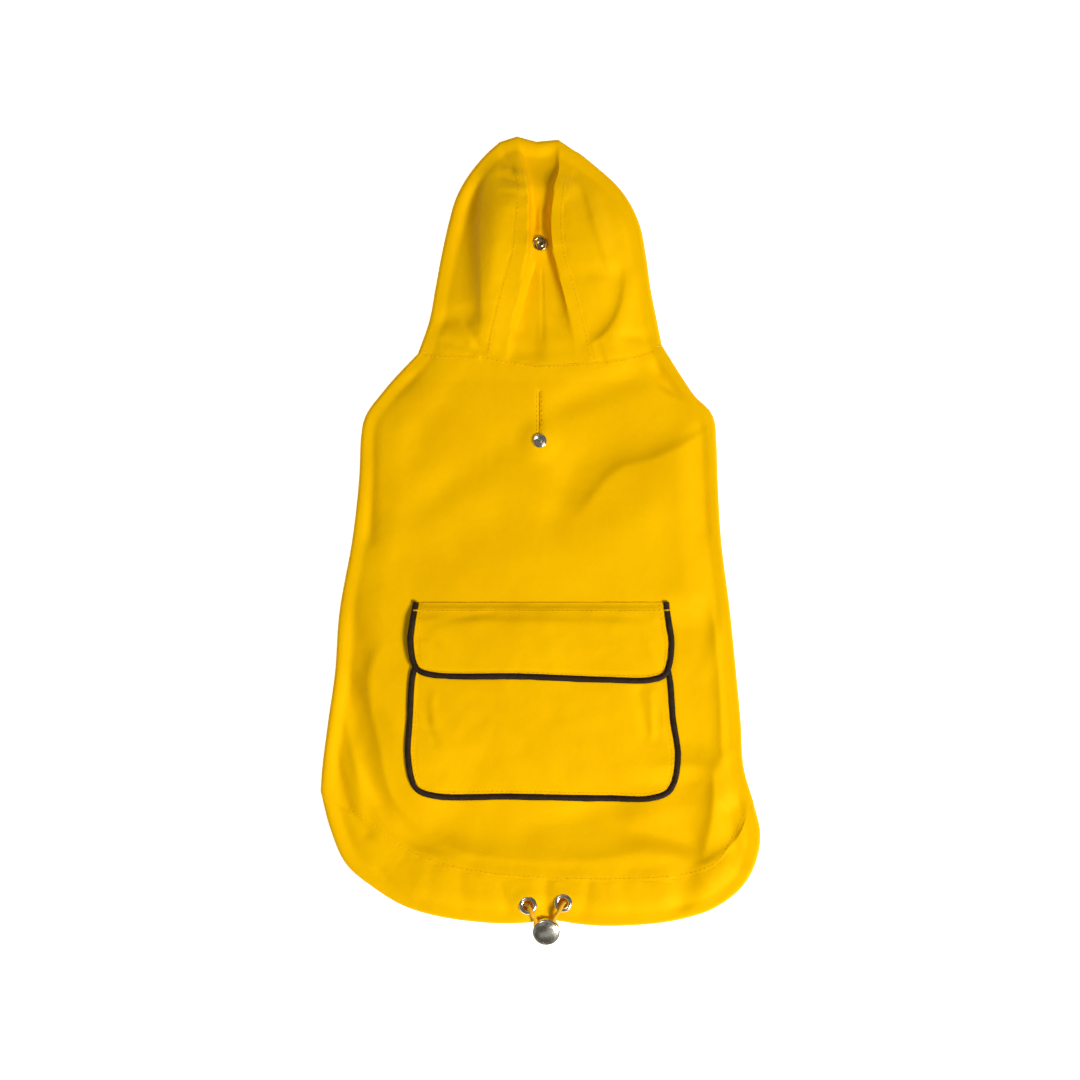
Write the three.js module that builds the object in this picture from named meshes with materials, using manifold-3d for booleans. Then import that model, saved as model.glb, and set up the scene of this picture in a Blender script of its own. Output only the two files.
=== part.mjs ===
// A dog raincoat laid flat on a surface with its back up: a hooded coat of smooth coated cloth.
// Millimetres, +Z up, +Y from the hem towards the hood. The origin is the middle of the footprint.

import * as THREE from "three";
import { mergeVertices } from "three/addons/utils/BufferGeometryUtils.js";
import Module from "manifold-3d";

const wasm = await Module();
wasm.setup();

// Cloth sizes.
const WALL = 1.2;
const SEAM_GAP = 0.3;
const EDGE_RADIUS = 2.4;
const EDGE_HEIGHT = 2 * EDGE_RADIUS;
const SIDE_TURN_UNDER = 15;
const HOOD_TURN_UNDER = 26;
const CREASE_FADE = 9;
// A crease fades past its ends over this many of its widths.
const CREASE_END = 1.4;

// The corners where the outline changes from one piece to the next.
const NECK_LEFT = { x: -76.8, y: 7.2 };
const NECK_RIGHT = { x: 76.4, y: 12.6 };
const CROWN_LEFT = { x: -25.5, y: 140 };
const CROWN_RIGHT = { x: 22, y: 134.3 };
const HEM_LEFT = { x: -137.9, y: -267.5 };
const HEM_RIGHT = { x: 133.9, y: -274 };

// The sides of the body, from the neck down.
const BODY_ROWS = [
  { y: -9, left: -92.2, right: 90 },
  { y: -20, left: -101.4, right: 97.7 },
  { y: -28.5, left: -107.8, right: 106.5 },
  { y: -35.5, left: -111, right: 109.6 },
  { y: -46, left: -112.6, right: 110.6 },
  { y: -72, left: -113.8, right: 111.5 },
  { y: -110, left: -118.1, right: 113.7 },
  { y: -155, left: -126.1, right: 119.3 },
  { y: -193, left: -128.9, right: 123.1 },
  { y: -223, left: -133.1, right: 125.9 },
  { y: -253, left: -136.9, right: 127.9 },
];

// The sides of the hood, from the neck up.
const HOOD_ROWS = [
  { y: 27.6, left: -69.7, right: 73.4 },
  { y: 47.7, left: -65.9, right: 69.4 },
  { y: 67.8, left: -62.2, right: 66.6 },
  { y: 87.9, left: -57.8, right: 62.6 },
  { y: 103, left: -53.6, right: 55.6 },
  { y: 113, left: -48.9, right: 48 },
  { y: 123.1, left: -42.1, right: 36.9 },
  { y: 133.1, left: -33.3, right: 24.4 },
];

// The neck seam and, above it, the lines that run up the centre panel of the hood: its two seams, the two fold
// edges of the pleat and the middle of the channel between them. Depth is how far the channel sinks.
const PLEAT_ROWS = [
  { y: 19.5, seamLeft: -32, foldLeft: -18.6, centre: 0.9, foldRight: 20.5, seamRight: 30, depth: 3.6 },
  { y: 47.1, seamLeft: -25.1, foldLeft: -12.6, centre: 0.7, foldRight: 13.8, seamRight: 23, depth: 5.4 },
  { y: 69.7, seamLeft: -18.6, foldLeft: -7.6, centre: 0.1, foldRight: 7.4, seamRight: 16.4, depth: 7.4 },
  { y: 91.1, seamLeft: -16.3, foldLeft: -6.9, centre: -0.3, foldRight: 5.9, seamRight: 14.6, depth: 7.6 },
  { y: 109.3, seamLeft: -15.3, foldLeft: -7.4, centre: -0.1, foldRight: 8.4, seamRight: 16.4, depth: 6.4 },
  { y: 122, seamLeft: -17.3, foldLeft: -10.2, centre: -0.6, foldRight: 11.6, seamRight: 19, depth: 4.6 },
];
const PLEAT_AT_NECK = {
  seamLeft: -34.5,
  foldLeft: -21.5,
  centre: 1,
  foldRight: 23.5,
  seamRight: 33.5,
  depth: 1.4,
};
const PLEAT_AT_CROWN = { foldLeft: -14.6, centre: -2.5, foldRight: 11.4, depth: 1.6 };
const CROWN_FOLD_LEFT_Y = 143.5;
const CROWN_CENTRE_Y = 140.2;
const CROWN_FOLD_RIGHT_Y = 141.5;
const PLEAT_SHARPNESS = 6;
// The pleat starts this far below the neck seam and reaches its full depth this far on.
const PLEAT_START = 2;
const PLEAT_FADE = 10;
// The side panels meet the top of the seams from here up along their own upper edge.
const SEAM_TURN_Y = 119;

// The neck seam, from left to right.
const NECK_ROWS = [
  { x: -55, y: 6.4 },
  { x: -34.5, y: 5.6 },
  { x: -21.5, y: 3 },
  { x: 0, y: 0.2 },
  { x: 14.4, y: 0.6 },
  { x: 33.5, y: 1.9 },
  { x: 52.1, y: 4.2 },
  { x: 66, y: 8 },
];

// The seam of the hem band from left to right.
const HEM_SEAM_ROWS = [
  { x: -131.5, y: -272.9 },
  { x: -104, y: -291.2 },
  { x: -90.6, y: -302 },
  { x: -74.7, y: -310 },
  { x: -46.5, y: -317.8 },
  { x: 0, y: -322.8 },
  { x: 60, y: -323.4 },
  { x: 95, y: -320 },
  { x: 111.8, y: -312.2 },
  { x: 122.5, y: -297 },
  { x: 129.2, y: -282.5 },
];

// The lower edge of the coat from left to right, with the notch that the elastic draws up at the toggle.
const HEM_EDGE_ROWS = [
  { x: -131.9, y: -290.8 },
  { x: -121.8, y: -313.4 },
  { x: -103.6, y: -328.9 },
  { x: -85.4, y: -339.7 },
  { x: -62.8, y: -346.4 },
  { x: -32.7, y: -350.3 },
  { x: -14, y: -350.6 },
  { x: -5.5, y: -348.4 },
  { x: 1.5, y: -346 },
  { x: 8, y: -346 },
  { x: 14.5, y: -348.2 },
  { x: 22.5, y: -350.8 },
  { x: 40, y: -352.2 },
  { x: 72.8, y: -350.6 },
  { x: 95.5, y: -346.2 },
  { x: 110.5, y: -340.4 },
  { x: 126.2, y: -328.4 },
  { x: 135, y: -313.4 },
  { x: 138.3, y: -294.5 },
];

// How high the middle of the coat stands over its edges, and how far in from the edge it gets there.
const LOFT_ROWS = [
  { y: -352, height: 2.7, reach: 14 },
  { y: -320, height: 3, reach: 16 },
  { y: -250, height: 3.6, reach: 24 },
  { y: -60, height: 3.6, reach: 26 },
  { y: -10, height: 3.4, reach: 26 },
  { y: 10, height: 5, reach: 30 },
  { y: 40, height: 9, reach: 40 },
  { y: 75, height: 11.5, reach: 42 },
  { y: 110, height: 9.5, reach: 40 },
  { y: 143, height: 5, reach: 36 },
];

// The largest folds: soft ridges (height above 0) and troughs (below 0), each along a line.
const CREASES = [
  { x1: -39, y1: 118, x2: -42, y2: 22, width: 6, height: -3.2 },
  { x1: -26, y1: 112, x2: -31, y2: 28, width: 8, height: 1.8 },
  { x1: -56, y1: 70, x2: -58, y2: 24, width: 7, height: -1.6 },
  { x1: 22, y1: 112, x2: 44, y2: 50, width: 7, height: -2.4 },
  { x1: 59, y1: 74, x2: 53, y2: 46, width: 6, height: -2.2 },
  { x1: 53, y1: 46, x2: 36, y2: 22, width: 6, height: -2 },
  { x1: 61, y1: 58, x2: 40, y2: 10, width: 5, height: 1.6 },
  { x1: 28, y1: 26, x2: 16, y2: 8, width: 7, height: -1.4 },
  { x1: 60, y1: 4, x2: 66, y2: -9, width: 5, height: -1.4 },
  { x1: 66, y1: -9, x2: 102, y2: -27, width: 6, height: -1.4 },
  { x1: -99, y1: -12, x2: -80, y2: -26, width: 8, height: -0.8 },
  { x1: 104, y1: -30, x2: 38, y2: -85, width: 14, height: -0.9 },
  { x1: 62, y1: 2, x2: 12, y2: -22, width: 9, height: -0.7 },
  { x1: -122, y1: -160, x2: -91, y2: -201, width: 8, height: -1.1 },
  { x1: -118, y1: -204, x2: -96, y2: -246, width: 7, height: -1.8 },
  { x1: -96, y1: -246, x2: -88, y2: -292, width: 7, height: -1.5 },
  { x1: -112, y1: -223, x2: -104, y2: -286, width: 6, height: 1 },
  { x1: -130, y1: -229, x2: -120, y2: -262, width: 4.5, height: -1.2 },
  { x1: 98, y1: -172, x2: 108, y2: -262, width: 11, height: -1.5 },
  { x1: 120, y1: -205, x2: 124, y2: -272, width: 4.5, height: 0.9 },
  { x1: 90, y1: -300, x2: 112, y2: -288, width: 9, height: -1.5 },
];

// The leash slit and the press studs.
const SLIT = { x: -0.6, top: -17, bottom: -42.4, width: 1.2, cutDepth: 6 };
const STUD_RADIUS = 4.55;
const STUD_HOOD = { x: 0, y: 75.4 };
const STUD_BACK = { x: -0.3, y: -47.8 };

// The pocket, its flap and their piping: the rows give the middle of the piping.
const PIPING = { width: 3.6, height: 2, clearance: 0.5 };
const PIPING_SIDES = 8;
const POCKET_ROWS = [
  { y: -158, left: -75, right: 76 },
  { y: -182, left: -75.4, right: 76.6 },
  { y: -193, left: -79.6, right: 80.4 },
  { y: -222, left: -81.7, right: 83.1 },
  { y: -246, left: -82.7, right: 86.2 },
];
const POCKET_BOTTOM = { left: -270, right: -271.8, cornerRadius: 17 };
const FLAP_ROWS = [
  { y: -148.6, left: -77.7, right: 78.7 },
  { y: -161.4, left: -79.9, right: 80.2 },
  { y: -175.4, left: -81, right: 82 },
];
const FLAP_BOTTOM = { left: -194, right: -197.2, cornerRadius: 13 };
const FLAP_LIFT = SEAM_GAP + PIPING.height + SEAM_GAP;
const FLAP_SEWN = 1;
const FLAP_RISE = 7;
const POCKET_SWELL = 0.9;
const FLAP_SWELL = 0.8;

// The eyelets, the elastic and the toggle.
const EYELET_LEFT = { x: -7.7, y: -338.4 };
const EYELET_RIGHT = { x: 14.4, y: -336.9 };
const EYELET = { outer: 5.8, inner: 2.8, barrel: 3.2, depth: 1.4, height: 1.4, rim: 0.9 };
const EYELET_HOLE = { depth: 5, sides: 20 };
const CORD_RADIUS = 1.3;
const CORD_SIDES = 8;
const TOGGLE = { x: 3.8, y: -354.6, radius: 9.1, flat: 7.4, tilt: THREE.MathUtils.degToRad(18) };
const SOCKET = { z: 2.6, depth: 3, cutLength: 7, cutSides: 12, left: -6.7, right: 5 };

// The underside: which rows of the back panel the chest panel and the belly strap span.
const CHEST = { from: 0, to: 10, neckScoop: 14, endScoop: -16 };
const STRAP = { from: 15, to: 18 };

function material(color, roughness, metalness) {
  return new THREE.MeshStandardMaterial({ color, roughness, metalness });
}

const point = (x, y, z = 0) => new THREE.Vector3(x, y, z);
const smooth = (x) => THREE.MathUtils.smoothstep(x, 0, 1);
const curve = (points) => new THREE.CatmullRomCurve3(points, false, "centripetal");
const mix = (a, b, t) => a.clone().lerp(b, t);

// A value of a table between its rows, in a straight line from row to row. The rows may run up or down.
function between(rows, along, at, column) {
  const up = rows[0][along] < rows[rows.length - 1][along] ? rows : [...rows].reverse();
  if (at <= up[0][along]) return up[0][column];
  for (let i = 1; i < up.length; i += 1) {
    if (at > up[i][along]) continue;
    const share = (at - up[i - 1][along]) / (up[i][along] - up[i - 1][along]);
    return THREE.MathUtils.lerp(up[i - 1][column], up[i][column], share);
  }
  return up[up.length - 1][column];
}

// The boundary curves, in plan.
const corner = (c) => point(c.x, c.y);
const side = (rows, column) => rows.map((row) => point(row[column], row.y));
const along = (rows) => rows.map((row) => point(row.x, row.y));

const bodyLeft = curve([corner(NECK_LEFT), ...side(BODY_ROWS, "left"), corner(HEM_LEFT)]);
const bodyRight = curve([corner(NECK_RIGHT), ...side(BODY_ROWS, "right"), corner(HEM_RIGHT)]);
const hoodLeft = curve([corner(NECK_LEFT), ...side(HOOD_ROWS, "left"), corner(CROWN_LEFT)]);
const hoodRight = curve([corner(NECK_RIGHT), ...side(HOOD_ROWS, "right"), corner(CROWN_RIGHT)]);
const neckSeam = curve([corner(NECK_LEFT), ...along(NECK_ROWS), corner(NECK_RIGHT)]);
const hemSeam = curve([corner(HEM_LEFT), ...along(HEM_SEAM_ROWS), corner(HEM_RIGHT)]);
const hemEdge = curve([corner(HEM_LEFT), ...along(HEM_EDGE_ROWS), corner(HEM_RIGHT)]);

const crownPeaks = [
  point(PLEAT_AT_CROWN.foldLeft, CROWN_FOLD_LEFT_Y),
  point(PLEAT_AT_CROWN.centre, CROWN_CENTRE_Y),
  point(PLEAT_AT_CROWN.foldRight, CROWN_FOLD_RIGHT_Y),
];
const crown = curve([corner(CROWN_LEFT), ...crownPeaks, corner(CROWN_RIGHT)]);

// The whole outline as one chain of short straight stretches, for the distance to the nearest edge.
const OUTLINE_STEPS = 48;
const edges = [bodyLeft, hemEdge, bodyRight, hoodRight, crown, hoodLeft];
const outline = edges.map((edge) => edge.getSpacedPoints(OUTLINE_STEPS));

function edgeDistance(x, y) {
  let nearest = Infinity;
  for (const chain of outline) {
    for (let i = 1; i < chain.length; i += 1) {
      const [a, b] = [chain[i - 1], chain[i]];
      const [dx, dy] = [b.x - a.x, b.y - a.y];
      const t = THREE.MathUtils.clamp(((x - a.x) * dx + (y - a.y) * dy) / (dx * dx + dy * dy), 0, 1);
      nearest = Math.min(nearest, Math.hypot(x - a.x - t * dx, y - a.y - t * dy));
    }
  }
  return nearest;
}

// A crease is deepest along its line and fades to its sides and past its ends.
function crease({ x1, y1, x2, y2, width, height }, x, y) {
  const [dx, dy] = [x2 - x1, y2 - y1];
  const length = Math.hypot(dx, dy);
  const forward = ((x - x1) * dx + (y - y1) * dy) / length;
  const past = Math.max(0, -forward, forward - length);
  const across = ((x - x1) * dy - (y - y1) * dx) / length;
  return height * Math.exp(-((across / width) ** 2) - (past / (CREASE_END * width)) ** 2);
}

// The channel of the pleat in the hood.
const neckY = between([NECK_LEFT, ...NECK_ROWS, NECK_RIGHT], "x", PLEAT_AT_NECK.centre, "y");
const pleatRows = [
  { y: neckY, ...PLEAT_AT_NECK },
  ...PLEAT_ROWS,
  { y: CROWN_CENTRE_Y, ...PLEAT_AT_CROWN },
];

function channel(x, y) {
  if (y < neckY - PLEAT_START) return 0;
  const at = (column) => between(pleatRows, "y", y, column);
  const centre = at("centre");
  const half = x < centre ? centre - at("foldLeft") : at("foldRight") - centre;
  const share = Math.abs(x - centre) / half;
  const fade = smooth((y - neckY + PLEAT_START) / PLEAT_FADE);
  return share >= 1 ? 0 : -fade * at("depth") * (1 - share ** PLEAT_SHARPNESS);
}

// The height of the upper face of the cloth over the surface that the coat lies on.
function layHeight(x, y) {
  const inside = edgeDistance(x, y) - EDGE_RADIUS;
  const loft = between(LOFT_ROWS, "y", y, "height") * smooth(inside / between(LOFT_ROWS, "y", y, "reach"));
  const folds = CREASES.reduce((sum, row) => sum + crease(row, x, y), 0) + channel(x, y);
  return EDGE_HEIGHT + loft + folds * smooth(inside / CREASE_FADE);
}

const SLOPE_STEP = 0.7;
function layNormal(x, y) {
  const slopeX = (layHeight(x + SLOPE_STEP, y) - layHeight(x - SLOPE_STEP, y)) / (2 * SLOPE_STEP);
  const slopeY = (layHeight(x, y + SLOPE_STEP) - layHeight(x, y - SLOPE_STEP)) / (2 * SLOPE_STEP);
  return point(-slopeX, -slopeY, 1).normalize();
}

// One station of a cloth section: a place on its outer face and the way that face looks.
const station = (place, normal) => ({ place, normal });
const onTop = (p, lift = 0) => {
  const normal = layNormal(p.x, p.y);
  return station(point(p.x, p.y, layHeight(p.x, p.y)).addScaledVector(normal, lift), normal);
};

// The stations where cloth rolls over an edge at a place in plan, from the top to the turned-under end.
const ROLL_STEPS = 4;
function rollUnder(edge, inward, turnUnder) {
  const stations = [];
  for (let i = 0; i <= ROLL_STEPS; i += 1) {
    const angle = Math.PI / 2 + (Math.PI * i) / ROLL_STEPS;
    const normal = inward.clone().multiplyScalar(-Math.sin(angle - Math.PI / 2)).setZ(Math.sin(angle));
    const middle = edge.clone().addScaledVector(inward, EDGE_RADIUS).setZ(EDGE_RADIUS);
    stations.push(station(middle.addScaledVector(normal, EDGE_RADIUS), normal));
  }
  stations.push(station(edge.clone().addScaledVector(inward, turnUnder).setZ(0), point(0, 0, -1)));
  return stations;
}

// A closed body from rows of stations: the outer face, an inner face one wall behind it, and the four borders.
function clothWall(rows, wall = WALL) {
  const [height, width] = [rows.length, rows[0].length];
  const outer = rows.flatMap((row) => row.map((s) => s.place));
  const inner = rows.flatMap((row) => row.map((s) => s.place.clone().addScaledVector(s.normal, -wall)));
  const count = outer.length;
  const triangles = [];
  const quad = (a, b, c, d) => triangles.push(a, b, c, a, c, d);
  const at = (i, j) => i * width + j;
  for (let i = 1; i < height; i += 1) {
    for (let j = 1; j < width; j += 1) {
      const [a, b, c, d] = [at(i - 1, j - 1), at(i - 1, j), at(i, j), at(i, j - 1)];
      quad(a, b, c, d);
      quad(count + d, count + c, count + b, count + a);
    }
  }
  for (let j = 1; j < width; j += 1) {
    quad(at(0, j), at(0, j - 1), count + at(0, j - 1), count + at(0, j));
    quad(at(height - 1, j - 1), at(height - 1, j), count + at(height - 1, j), count + at(height - 1, j - 1));
  }
  for (let i = 1; i < height; i += 1) {
    quad(at(i - 1, 0), at(i, 0), count + at(i, 0), count + at(i - 1, 0));
    quad(at(i, width - 1), at(i - 1, width - 1), count + at(i - 1, width - 1), count + at(i, width - 1));
  }
  return closedBody([...outer, ...inner], triangles);
}

// A geometry from points and triangles, turned so that its faces point out.
function closedBody(points, triangles) {
  let volume = 0;
  for (let i = 0; i < triangles.length; i += 3) {
    const [a, b, c] = [points[triangles[i]], points[triangles[i + 1]], points[triangles[i + 2]]];
    volume += a.dot(b.clone().cross(c));
  }
  const faces = volume > 0 ? triangles : [...triangles].reverse();
  const geometry = new THREE.BufferGeometry();
  geometry.setAttribute("position", new THREE.Float32BufferAttribute(points.flatMap((p) => p.toArray()), 3));
  geometry.setIndex(faces);
  return geometry;
}

// Cutting one geometry by another.
function solid(geometry) {
  const bare = geometry.clone();
  bare.deleteAttribute("normal");
  bare.deleteAttribute("uv");
  const merged = mergeVertices(bare, 1e-4);
  const vertProperties = new Float32Array(merged.attributes.position.array);
  const triVerts = new Uint32Array(merged.index.array);
  return new wasm.Manifold(new wasm.Mesh({ numProp: 3, vertProperties, triVerts }));
}

function cutBy(geometry, cutters) {
  const result = cutters.reduce((body, cutter) => body.subtract(solid(cutter)), solid(geometry)).getMesh();
  const cut = new THREE.BufferGeometry();
  cut.setAttribute("position", new THREE.Float32BufferAttribute(result.vertProperties, 3));
  cut.setIndex([...result.triVerts]);
  return cut;
}

// Steps of a number range, both ends included.
function steps(count, from = 0, to = 1) {
  return Array.from({ length: count + 1 }, (_, i) => from + ((to - from) * i) / count);
}

// A patch in plan between four curves, each given by its points at a share of its length.
function coons(left, right, first, last) {
  const [c00, c10, c01, c11] = [left(0), right(0), left(1), right(1)];
  return (u, v) => {
    const p = point(0, 0);
    p.addScaledVector(left(v), 1 - u).addScaledVector(right(v), u);
    p.addScaledVector(first(u), 1 - v).addScaledVector(last(u), v);
    p.addScaledVector(c00, -(1 - u) * (1 - v)).addScaledVector(c10, -u * (1 - v));
    p.addScaledVector(c01, -(1 - u) * v).addScaledVector(c11, -u * v);
    return p;
  };
}

// The same curve moved sideways in plan, to its left if the distance is above 0.
function moved(c, distance, t) {
  const tangent = c.getTangentAt(t);
  return c.getPointAt(t).add(point(-tangent.y, tangent.x).normalize().multiplyScalar(distance));
}

const HALF_GAP = SEAM_GAP / 2;
const unit = (from, to) => to.clone().sub(from).setZ(0).normalize();

// The back panel: rows from the neck seam to the hem seam.
const BODY_STEPS = { across: 22, down: 28 };
const bodyPlan = coons(
  (v) => bodyLeft.getPointAt(v),
  (v) => bodyRight.getPointAt(v),
  (u) => neckSeam.getPointAt(u),
  (u) => hemSeam.getPointAt(u),
);
// The gap at both ends of the panel is taken off its length.
const BODY_GAP_SHARE = HALF_GAP / bodyLeft.getLength();
const bodyShares = steps(BODY_STEPS.down, BODY_GAP_SHARE, 1 - BODY_GAP_SHARE);

function bodySides(v) {
  const [left, right] = [bodyPlan(0, v), bodyPlan(1, v)];
  const [near, far] = [1 / BODY_STEPS.across, 1 - 1 / BODY_STEPS.across];
  return { left, right, fromLeft: unit(left, bodyPlan(near, v)), fromRight: unit(right, bodyPlan(far, v)) };
}

function bodyRow(v) {
  const { left, right, fromLeft, fromRight } = bodySides(v);
  const middle = steps(BODY_STEPS.across).slice(1, -1);
  return [
    ...rollUnder(left, fromLeft, SIDE_TURN_UNDER).reverse(),
    ...middle.map((u) => onTop(bodyPlan(u, v))),
    ...rollUnder(right, fromRight, SIDE_TURN_UNDER),
  ];
}

const slitCutter = new THREE.BoxGeometry(SLIT.width, SLIT.top - SLIT.bottom, SLIT.cutDepth);
slitCutter.translate(SLIT.x, (SLIT.top + SLIT.bottom) / 2, layHeight(SLIT.x, SLIT.top));
const backPanel = cutBy(clothWall(bodyShares.map(bodyRow)), [slitCutter]);

// The hem band: stations from the seam to the edge, round it and back underneath.
const HEM_STEPS = { along: 46, across: 3 };
const HEM_END_WIDTH = 8;
const HEM_UNDER_SHORT = 1;
const hemEndShare = HEM_END_WIDTH / hemSeam.getLength();
const hemGapShare = SEAM_GAP / hemEdge.getLength();

function hemRow(t) {
  const edge = hemEdge.getPointAt(THREE.MathUtils.lerp(hemGapShare, 1 - hemGapShare, t));
  const seam = moved(hemSeam, -HALF_GAP, THREE.MathUtils.lerp(hemEndShare, 1 - hemEndShare, t));
  const inward = unit(edge, seam);
  const width = edge.distanceTo(seam);
  const rolled = edge.clone().addScaledVector(inward, EDGE_RADIUS);
  const top = steps(HEM_STEPS.across).slice(0, -1).map((u) => onTop(mix(seam, rolled, u)));
  return [...top, ...rollUnder(edge, inward, width - HEM_UNDER_SHORT)];
}

const eyeletHole = ({ x, y }) => {
  const radius = EYELET.barrel + SEAM_GAP;
  const cutter = new THREE.CylinderGeometry(radius, radius, EYELET_HOLE.depth, EYELET_HOLE.sides);
  cutter.rotateX(Math.PI / 2);
  return cutter.translate(x, y, layHeight(x, y));
};
const hemHoles = [EYELET_LEFT, EYELET_RIGHT].map(eyeletHole);
const hemBand = cutBy(clothWall(steps(HEM_STEPS.along).map(hemRow)), hemHoles);

// The share of a curve at which a coordinate that grows along it reaches a value.
const HALVINGS = 40;
function shareWhere(line, axis, value) {
  let [low, high] = [0, 1];
  for (let i = 0; i < HALVINGS; i += 1) {
    const half = (low + high) / 2;
    if (line.getPointAt(half)[axis] < value) low = half;
    else high = half;
  }
  return low;
}

// The hood: the lines up its centre panel, from the neck seam to the crown.
const neckPoint = (x) => neckSeam.getPointAt(shareWhere(neckSeam, "x", x));

const upHood = (column, top) => curve([neckPoint(PLEAT_AT_NECK[column]), ...side(PLEAT_ROWS, column), top]);
const hoodLines = {
  seamLeft: upHood("seamLeft", corner(CROWN_LEFT)),
  foldLeft: upHood("foldLeft", crownPeaks[0]),
  centre: upHood("centre", crownPeaks[1]),
  foldRight: upHood("foldRight", crownPeaks[2]),
  seamRight: upHood("seamRight", corner(CROWN_RIGHT)),
};

// The stations across the centre panel: shares of the way from one of its lines to the next.
const CENTRE_STATIONS = [
  { from: "seamLeft", to: "foldLeft", shares: [0, 0.5, 0.85] },
  { from: "foldLeft", to: "centre", shares: [0, 0.14, 0.32, 0.66] },
  { from: "centre", to: "foldRight", shares: [0, 0.34, 0.68, 0.86] },
  { from: "foldRight", to: "seamRight", shares: [0, 0.15, 0.5, 1] },
];
const CENTRE_STEPS = 18;
const hoodGapShare = HALF_GAP / hoodLines.centre.getLength();

function centreLine(v) {
  const points = CENTRE_STATIONS.flatMap(({ from, to, shares }) => {
    const [a, b] = [hoodLines[from].getPointAt(v), hoodLines[to].getPointAt(v)];
    return shares.map((share) => mix(a, b, share));
  });
  const last = points.length - 1;
  const across = unit(points[0], points[last]);
  points[0].addScaledVector(across, HALF_GAP);
  points[last].addScaledVector(across, -HALF_GAP);
  return points;
}

function centreRows() {
  const lines = steps(CENTRE_STEPS, hoodGapShare, 1).map(centreLine);
  const crownLine = lines.pop();
  const below = lines[lines.length - 1];
  const rolls = crownLine.map((p, j) => rollUnder(p, unit(p, below[j]), HOOD_TURN_UNDER));
  const rolled = rolls[0].map((_, i) => rolls.map((roll) => roll[i]));
  return [...lines.map((line) => line.map((p) => onTop(p))), ...rolled];
}
const hoodCentre = clothWall(centreRows());

// The side panels of the hood: rows from the neck seam to the top of the seam beside the centre panel, each
// from that seam to the front edge and round under.
const HOOD_STEPS = { up: 20, across: 7 };

function hoodSide(seamLine, edgeLine, outward) {
  const turn = shareWhere(seamLine, "y", SEAM_TURN_Y);
  const edgeGapShare = HALF_GAP / edgeLine.getLength();
  const neckStart = shareWhere(neckSeam, "x", seamLine.getPointAt(0).x);
  const neckRoll = EDGE_RADIUS / neckSeam.getLength();
  const neckEnd = outward > 0 ? 1 - neckRoll : neckRoll;
  const crownEnd = 1 - EDGE_RADIUS / seamLine.getLength();
  const besideSeam = (t) => moved(seamLine, -outward * HALF_GAP, t);
  const seamAt = (v) => besideSeam(THREE.MathUtils.lerp(hoodGapShare, turn, v));
  const edgeAt = (v) => {
    const edge = edgeLine.getPointAt(THREE.MathUtils.lerp(edgeGapShare, 1 - edgeGapShare, v));
    if (v === 1) edge.x += outward * HALF_GAP;
    return edge;
  };
  const inwardAt = (v) => unit(edgeAt(v), seamAt(v));
  const plan = coons(
    seamAt,
    (v) => edgeAt(v).addScaledVector(inwardAt(v), EDGE_RADIUS),
    (u) => moved(neckSeam, HALF_GAP, THREE.MathUtils.lerp(neckStart, neckEnd, u)),
    (u) => besideSeam(THREE.MathUtils.lerp(turn, crownEnd, u)),
  );
  return steps(HOOD_STEPS.up).map((v) => {
    const top = steps(HOOD_STEPS.across).slice(0, -1).map((u) => onTop(plan(u, v)));
    return [...top, ...rollUnder(edgeAt(v), inwardAt(v), HOOD_TURN_UNDER)];
  });
}
const hoodLeftPanel = clothWall(hoodSide(hoodLines.seamLeft, hoodLeft, -1));
const hoodRightPanel = clothWall(hoodSide(hoodLines.seamRight, hoodRight, 1));

// Flat pieces of the underside lie between the turned-under sides of the back panel.
const UNDER_STEPS = 10;
function underPanel({ from, to, neckScoop = 0, endScoop = 0 }) {
  const columns = steps(UNDER_STEPS);
  const inset = SIDE_TURN_UNDER + SEAM_GAP;
  return clothWall(
    bodyShares.slice(from, to + 1).map((v, i) => {
      const { left, right, fromLeft, fromRight } = bodySides(v);
      const start = left.clone().addScaledVector(fromLeft, inset);
      const end = right.clone().addScaledVector(fromRight, inset);
      const scoop = THREE.MathUtils.lerp(neckScoop, endScoop, i / (to - from));
      return columns.map((u) => {
        const p = mix(start, end, u);
        p.y -= scoop * Math.sin(Math.PI * u);
        return station(p, point(0, 0, -1));
      });
    }),
  );
}
const chestPanel = underPanel(CHEST);
const bellyStrap = underPanel(STRAP);

// The pocket and its flap: a path down the left, round two corners and up the right. Half-way round a corner
// the path is this share of the corner's radius away from both of its sides.
const CORNER_BEND = 1 - Math.SQRT1_2;
function pipingPath(rows, bottom) {
  const last = rows[rows.length - 1];
  const r = bottom.cornerRadius;
  const bend = CORNER_BEND * r;
  const spread = (bottom.right - bottom.left) / 3;
  return curve([
    ...side(rows, "left"),
    point(last.left + bend, bottom.left + bend),
    point(last.left + r, bottom.left),
    point(-r, bottom.left + spread),
    point(last.right / 2, bottom.right),
    point(last.right - r, bottom.right),
    point(last.right - bend, bottom.right + bend),
    ...side(rows, "right").reverse(),
  ]);
}
const pocketPath = pipingPath(POCKET_ROWS, POCKET_BOTTOM);
const flapPath = pipingPath(FLAP_ROWS, FLAP_BOTTOM);

// The lift of the flap over the panel: sewn down along its top and then up over the pocket.
function flapLift(y) {
  const below = FLAP_ROWS[0].y - FLAP_SEWN - y;
  return THREE.MathUtils.lerp(SEAM_GAP, FLAP_LIFT, smooth(below / FLAP_RISE));
}

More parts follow.
